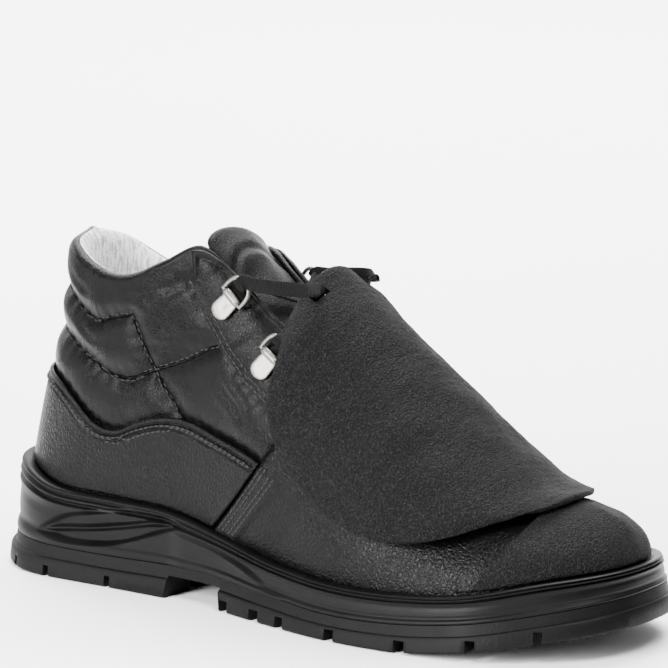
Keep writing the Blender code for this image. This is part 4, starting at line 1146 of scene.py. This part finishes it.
def make_outsole():
    made = lattice("outsole_body", loft(outsole_profile, 150), [RUBBER])
    cutters = [lattice("channel_cut", channel_ring(), [RUBBER])]
    for name, cutter in (("arch_cut", arch_cutter), ("side_cut", side_cutter), ("centre_cut", centre_cutter)):
        bm = bmesh.new()
        cutter(bm)
        bmesh.ops.translate(bm, verts=bm.verts, vec=Vector(SHIFT))
        cutters.append(as_object(name, bm, [RUBBER]))
    carve(made, cutters, 35, 0.0005)
    return settle(made, ["outsole"])


midsole = make_midsole()
outsole = make_outsole()
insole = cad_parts["insole"]
for slot in insole.material_slots:
    slot.material = FELT


# D rings

def ring_frames(side):
    """Frames of one side's rings from the top down: x along the eyestay, y to the throat, z outwards."""
    turn, v = side * RINGS["share"] * np.pi, RINGS["v"]
    places = skin(turn, v)
    out = places - under_skin(turn, v, 0.01)
    turned = Matrix.Rotation(np.radians(side * RING_TURN), 4, "Z")
    return [frame_at(*values) @ turned for values in zip(places, side * np.gradient(places, axis=0), out)]


def circle(radius, count):
    angles = np.linspace(0, 2 * np.pi, count + 1)
    return np.stack([np.cos(angles), np.sin(angles)], -1) * radius


def loop_level(y):
    """Height of the ring's tilted loop above the skin."""
    return RING_LIFT + RING_BARREL / 3 + (y - RING_BARREL_AT) * RING_SLOPE


def swept(path, wide, deep, section):
    """Lattice of a section of (wide, deep) pairs along a path."""
    path, wide, deep = (np.array(values, float)[:, None] for values in (path, wide, deep))
    return path + wide * section[None, :, :1] + deep * section[None, :, 1:]


def capped(lattice_points):
    """The lattice with its two ends drawn in to a point."""
    first = np.broadcast_to(lattice_points[:1].mean(1, keepdims=True), lattice_points[:1].shape)
    last = np.broadcast_to(lattice_points[-1:].mean(1, keepdims=True), lattice_points[:1].shape)
    return np.concatenate([first, lattice_points, last], axis=0)


def ring_plate():
    """Tab with a round back end and slightly narrowing sides, rounded at its rims."""
    half, thick = RING_PLATE_WIDTH / 2, RING_PLATE_THICKNESS
    depth = 0.8 * half
    arc = np.linspace(np.pi, 2 * np.pi, 25)
    tab = np.stack([half * np.cos(arc), depth * np.sin(arc) - (RING_PLATE_BACK - depth)], -1)
    levels = np.linspace(tab[-1, 1], RING_BARREL_AT, 6)[1:]
    edge = [(half * (1 - 0.12 * k / 5), y) for k, y in enumerate(levels)]
    tab = np.concatenate([tab, edge, [(-x, y) for x, y in edge[::-1]], tab[:1]])
    levels = [(-0.5, 0.90), (-0.5, 0.97), (0.0, 1.0), (0.25, 0.99), (0.42, 0.965), (0.5, 0.90), (0.56, 0.72),
              (0.50, 0.3)]
    rings = [np.concatenate([tab * scale, np.full((len(tab), 1), RING_LIFT + level * thick)], 1)
             for level, scale in levels]
    return capped(np.stack(rings, 0))


def ring_barrel():
    half, middle = RING_PLATE_WIDTH / 2, loop_level(RING_BARREL_AT)
    swell = np.array([0.78, 0.94, 1, 1, 1, 1, 1, 0.94, 0.78])
    rings = []
    for x, k in zip(np.linspace(-half, half, 9), swell):
        ring = circle(RING_BARREL / 2 * k, 24) + (RING_BARREL_AT, middle)
        rings.append(np.concatenate([np.full((25, 1), x), ring], 1))
    return capped(np.stack(rings, 0))


def ring_wire():
    """The closed D, its straight side inside the barrel."""
    wide, reach = (RING_WIDTH - RING_WIRE) / 2, RING_REACH - RING_BARREL_AT
    shape = [(-1, 0), (-1, 0.45), (-0.88, 0.80), (-0.6, 1), (0, 1.03),
             (0.6, 1), (0.88, 0.80), (1, 0.45), (1, 0)]
    loop = smooth_line(shape, 50)
    back = np.stack([np.linspace(1, -1, 16)[1:-1], np.zeros(14)], -1)
    loop = np.concatenate([loop, back, loop[:1]])
    y = RING_BARREL_AT + reach * loop[:, 1]
    path = np.stack([wide * loop[:, 0], y, loop_level(y)], -1)
    heart = np.array([0, RING_BARREL_AT + reach / 2, loop_level(RING_BARREL_AT + reach / 2)])
    across = np.broadcast_to(unit(np.array([0, -RING_SLOPE, 1.0])), path.shape)
    return swept(path, unit(path - heart), across, circle(RING_WIRE / 2, 14))


def join_lattices(name, parts, material):
    """Several lattices as one object."""
    bm = bmesh.new()
    for points in parts:
        columns, rows = points.shape[:2]
        fresh = bmesh.ops.create_grid(bm, x_segments=columns - 1, y_segments=rows - 1, size=0.5)["verts"]
        for vert in fresh:
            vert.co = points[round((vert.co.x + 0.5) * (columns - 1)), round((vert.co.y + 0.5) * (rows - 1))]
        bmesh.ops.remove_doubles(bm, verts=fresh, dist=WELD / 10)
    bmesh.ops.recalc_face_normals(bm, faces=bm.faces)
    return as_object(name, bm, [material])


def make_rings():
    parts = [ring_plate(), ring_barrel(), ring_wire()]
    for name, side in (("outer", 1), ("inner", -1)):
        for number, place in enumerate(ring_frames(side), 1):
            made = join_lattices("ring_%s_%d" % (name, number), parts, METAL)
            made.data.transform(Matrix.Translation(Vector(SHIFT)) @ place)
            settle(made, ["d_ring_%s_%d" % (name, number)])


make_rings()


# lace

def wrap(place, start, finish, count):
    """Points and wide directions of the lace's turn round a ring's wire, by angle in degrees."""
    radius = (RING_WIRE + LACE_THICKNESS) / 2 + LACE_GAP
    turns = np.radians(np.linspace(start, finish, count))
    level = loop_level(RING_REACH)
    places = [(0, RING_REACH + radius * np.cos(turn), level + radius * np.sin(turn)) for turn in turns]
    return [(place @ Vector(spot), place.col[0].to_3d()) for spot in places]


def taut(first, last, out, surfaces, clear):
    """Points of a strip pulled tight from first to last over the surfaces under it."""
    chord = (last - first).normalized()
    out = (out - chord * out.dot(chord)).normalized()
    shares = np.linspace(0, 1, 14)
    line = [first.lerp(last, share) for share in shares]
    rise = np.zeros(len(shares))
    shift = Vector(SHIFT)
    for i in range(1, len(shares) - 1):
        for surface in surfaces:
            hit = surface.ray_cast(line[i] + shift + out * COLLAR_HEIGHT / 3, -out)[0]
            if hit:
                rise[i] = max(rise[i], (hit - shift - line[i]).dot(out) + clear)
    held = [0]
    for i in range(1, len(shares)):
        while len(held) > 1:
            slope = (rise[i] - rise[held[-2]]) / (i - held[-2])
            if rise[held[-1]] > rise[held[-2]] + slope * (held[-1] - held[-2]):
                break
            held.pop()
        held.append(i)
    rise = np.interp(range(len(shares)), held, rise[held])
    return [(point + out * up, chord.cross(out)) for point, up in list(zip(line, rise))[1:-1]]


def slot_pass(side):
    """Points of the lace's way in through a slot of the flap, with its wide direction."""
    place = slot_frame(side)
    near = 2.4 * LACE_THICKNESS
    places = [(-side * near, near / 4, 1.2 * near), (-side * near / 3, near / 8, near), (0, 0, 0.6 * near)]
    places += [(0, 0, -depth) for depth in (0, FLAP_WALL)] + [(0, -near / 3, -FLAP_WALL - near)]
    turned = [(0.1, 1), (0.5, 0.8)] + [(1, 0)] * 4
    x, y = place.col[0].to_3d(), place.col[1].to_3d()
    return [(place @ Vector(spot), x * a + y * b) for spot, (a, b) in zip(places, turned)]


def bowed(first, last, side):
    """Points between two places outside the flap's edge, bowed clear of it."""
    return [(first.lerp(last, share) - Vector((0, side * LACE_BOW * bow, 0)), Vector((0.4, 0, -0.9)))
            for share, bow in ((0.2, 0.4), (0.45, 0.8), (0.75, 0.8))]


def lace_steps():
    outer, inner = ring_frames(1), ring_frames(-1)
    graph = bpy.context.evaluated_depsgraph_get()
    surfaces = [BVHTree.FromObject(item, graph) for item in (tongue_piece, upper, *eyestays)]
    stops = [outer[0], inner[1], outer[2], inner[2], outer[1], inner[0]]
    clear = LACE_GAP + LACE_THICKNESS
    lifts = [0, 0, 0, LACE_LIFT, LACE_LIFT]
    steps = wrap(outer[0], 192, 285, 4)
    for start, finish, lift in zip(stops, stops[1:], lifts):
        turn = wrap(finish, 75, 285, 8)
        out = start.col[2].to_3d() + finish.col[2].to_3d()
        steps += taut(steps[-1][0], turn[0][0], out, surfaces, clear + lift) + turn
    entry, leave = slot_pass(-1), slot_pass(1)[::-1]
    steps += bowed(steps[-1][0], entry[0][0], -1) + entry
    middle = (entry[-1][0] + leave[0][0]) / 2
    steps += [(middle + Vector((0, 0, LACE_THICKNESS / 2)), Vector((0.5, 0, 0.8)))] + leave
    last = wrap(outer[0], 75, 172, 4)
    return steps + bowed(last[0][0], leave[-1][0], 1)[::-1] + last


def make_lace():
    """One flat braid through all the rings and the flap."""
    steps = lace_steps()
    path = np.array([point for point, _ in steps])
    wide = np.array([direction for _, direction in steps])
    for i in range(1, len(wide)):
        wide[i] *= 1 if wide[i] @ wide[i - 1] > 0 else -1
    for _ in range(3):
        wide[1:-1] = (wide[:-2] + 2 * wide[1:-1] + wide[2:]) / 4
        wide = unit(wide)
    both = smooth_line(np.concatenate([path, wide * 0.002], 1), 900)
    path, wide = both[:, :3], both[:, 3:]
    tangent = unit(np.gradient(path, axis=0))
    wide = unit(wide - tangent * (wide * tangent).sum(1, keepdims=True))
    deep = np.cross(tangent, wide)
    turn = np.linspace(0, 2 * np.pi, 25)
    half, thick = LACE_WIDTH / 2, LACE_THICKNESS / 2
    section = np.stack([half * np.sign(np.cos(turn)) * np.abs(np.cos(turn)) ** 0.75,
                        thick * np.sign(np.sin(turn)) * np.abs(np.sin(turn)) ** 0.6], -1)
    points = capped(swept(path, wide, deep, section))
    across = np.broadcast_to(section[None, :, 0], points.shape[:2])
    up = np.broadcast_to(run(points[:, 6:7], 0), points.shape[:2])
    return settle(lattice("lace_braid", points, [LACE], around=across, up=up), ["lace"])


lace = make_lace()


# seams

STITCH_LENGTH = 0.0022
STITCH_PITCH = 0.0028
STITCH_RADIUS = 0.00032
# rows of stitches: metres from an edge, or shares of the half turn ahead of the quarter's front edge
WAVE_ROWS = (0.0026, 0.0056)
STRIP_ROWS = (0.0078, 0.0132, 0.0212, 0.0266)
EYESTAY_ROWS = (0.0018, 0.0044)
CLEAR_OF_PANELS = PANEL_GAP + PANEL_WALL + 0.003


def even_steps(line, pitch):
    at = np.concatenate([[0], np.cumsum(np.linalg.norm(np.diff(line, axis=0), axis=1))])
    spots = np.arange(pitch / 2, at[-1], pitch)
    return np.stack([np.interp(spots, at, line[:, k]) for k in range(3)], -1)


def beside(line, target, distance):
    """The line moved sideways over the target's surface."""
    tangent = unit(np.gradient(line, axis=0))
    moved = []
    for point, way in zip(line, tangent):
        _, normal, _, _ = target.find_nearest(Vector(point + SHIFT))
        side = Vector(way).cross(normal).normalized()
        near, _, _, _ = target.find_nearest(Vector(point + SHIFT) + side * distance)
        moved.append(np.array(near) - SHIFT)
    return np.array(moved)


def stitch_parts(line, target):
    """Small rounded stitches along a line on the target's surface."""
    spots = even_steps(line, STITCH_PITCH)
    ways = unit(np.gradient(spots, axis=0))
    shape = np.stack([np.linspace(-0.5, 0.5, 5), np.array([0.35, 0.85, 1, 0.85, 0.35])], -1)
    parts = []
    for spot, way in zip(spots, ways):
        near, normal, _, _ = target.find_nearest(Vector(spot + SHIFT))
        normal, near = np.array(normal), np.array(near)
        side = unit(np.cross(way, normal))
        path = near + np.outer(shape[:, 0] * STITCH_LENGTH, way)
        path = path + np.outer(shape[:, 1] * 0.4 * STITCH_RADIUS, normal)
        rings = []
        for point, k in zip(path, shape[:, 1]):
            ring = circle(STITCH_RADIUS * k, 6)
            rings.append(point + np.outer(ring[:, 0], side) + np.outer(ring[:, 1], normal))
        parts.append(capped(np.stack(rings, 0)))
    return parts


def make_stitches(name, lines):
    parts = []
    for line, target in lines:
        parts += stitch_parts(line, target)
    made = join_lattices(name, parts, THREAD)
    return settle(made, [])


def tree_of(piece):
    return BVHTree.FromObject(piece, bpy.context.evaluated_depsgraph_get())


def quarter_rows():
    """Two rows under the waved edge, and four on the strip ahead of the quarter."""
    shell, target = tree_of(upper), tree_of(quarter)
    turn = np.linspace(-0.493, 0.493, 260) * np.pi
    edge = over_skin(turn, where(turn, below_line(WAVE)), CLEAR_OF_PANELS)
    rows = [(beside(edge, target, distance), target) for distance in WAVE_ROWS]
    for side in (1, -1):
        w = np.linspace(0.04, 0.99, 40)
        turn = side * along(QUARTER_FRONT, "share", w) * np.pi
        bottom, top = above_rim(turn), where(turn, below_line(WAVE))
        v = bottom + (top - bottom) * w
        rows += [(over_skin(turn + side * ahead * np.pi, v, CLEAR_OF_PANELS), shell) for ahead in STRIP_ROWS]
    return rows


def eyestay_rows():
    rows = []
    for side, piece in zip((1, -1), eyestays):
        target = tree_of(piece)
        turn = side * np.linspace(EYESTAY_TOP + 0.010, 0.600, 70) * np.pi
        edge = over_skin(turn, where(turn, below_line(EYESTAY_BACK)), CLEAR_OF_PANELS)
        rows += [(beside(edge, target, -side * distance), target) for distance in EYESTAY_ROWS]
    return rows


def collar_rows():
    shell = tree_of(upper)
    return [(on_skin(knots, side), shell) for side in (1, -1) for knots in (QUILT_A[1:], QUILT_B, QUILT_C[1:])]


make_stitches("quarter_stitches", quarter_rows())
make_stitches("eyestay_stitches", eyestay_rows())
make_stitches("collar_stitches", collar_rows())


# studio

FLOOR_SIZE, FLOOR_FRONT, WALL_AT = 9, 3.5, 3.0


def make_floor():
    """A floor, pale round the shoe and behind it and dark in front, that turns up into a wall far behind."""
    bm = bmesh.new()
    bmesh.ops.create_grid(bm, x_segments=1, y_segments=50, size=0.5)
    away = Vector((-np.sin(AZIMUTH), np.cos(AZIMUTH), 0))
    across = Vector((np.cos(AZIMUTH), np.sin(AZIMUTH), 0))
    for vert in bm.verts:
        depth = (vert.co.y + 0.5) * FLOOR_SIZE - FLOOR_FRONT
        rise = max(depth - WALL_AT, 0)
        level = away * min(depth, WALL_AT + rise * 0.5)
        vert.co = across * vert.co.x * FLOOR_SIZE + level + Vector((0, 0, 0.75 * rise**1.5))
    made, tree, shader, at = new_material("studio_floor", Roughness=0.9, Specular_IOR_Level=0.1)
    reach = []
    for way in (away, (-0.707, -0.707, 0)):
        dot = add(tree, "ShaderNodeVectorMath", {0: at, 1: tuple(way)}, operation="DOT_PRODUCT")
        reach.append(dot.outputs["Value"])
    depth, aside = reach
    shade = math(tree, "MULTIPLY", ramp(tree, depth, -0.85, -0.32), ramp(tree, aside, 0.60, 0.26))
    put(tree, shader.inputs["Base Color"], blend_colours(tree, shade, grey(0.05), grey(0.96)))
    as_object("studio_floor", bm, [made])


def make_light(name, place, size, power, target=(0, 0, 0.06)):
    data = bpy.data.lights.new(name, "AREA")
    data.shape = "RECTANGLE"
    data.size, data.size_y = size
    data.energy = power
    made = bpy.data.objects.new(name, data)
    made.location = place
    made.rotation_euler = (Vector(target) - Vector(place)).to_track_quat("-Z", "Y").to_euler()
    bpy.context.collection.objects.link(made)


def make_world():
    world = bpy.data.worlds.new("studio")
    world.use_nodes = True
    background = world.node_tree.nodes["Background"]
    background.inputs["Color"].default_value = (1, 1, 1, 1)
    background.inputs["Strength"].default_value = 0.10
    bpy.context.scene.world = world


make_floor()
make_world()
make_light("top_light", (-0.25, 0.55, 1.7), (1.5, 1.1), 84)
make_light("wall_light", (-1.0, 1.5, 2.6), (3.0, 1.0), 560, (-1.8, 3.2, 0.4))
make_light("key_light", (-0.30, -1.40, 0.55), (0.45, 1.0), 74)
make_light("rim_light", (-1.3, 0.35, 0.55), (0.4, 0.8), 10)
make_light("right_light", (0.80, -0.52, 1.5), (0.8, 0.6), 50)
make_light("low_light", (-1.3, -0.80, 0.16), (0.25, 0.5), 10)
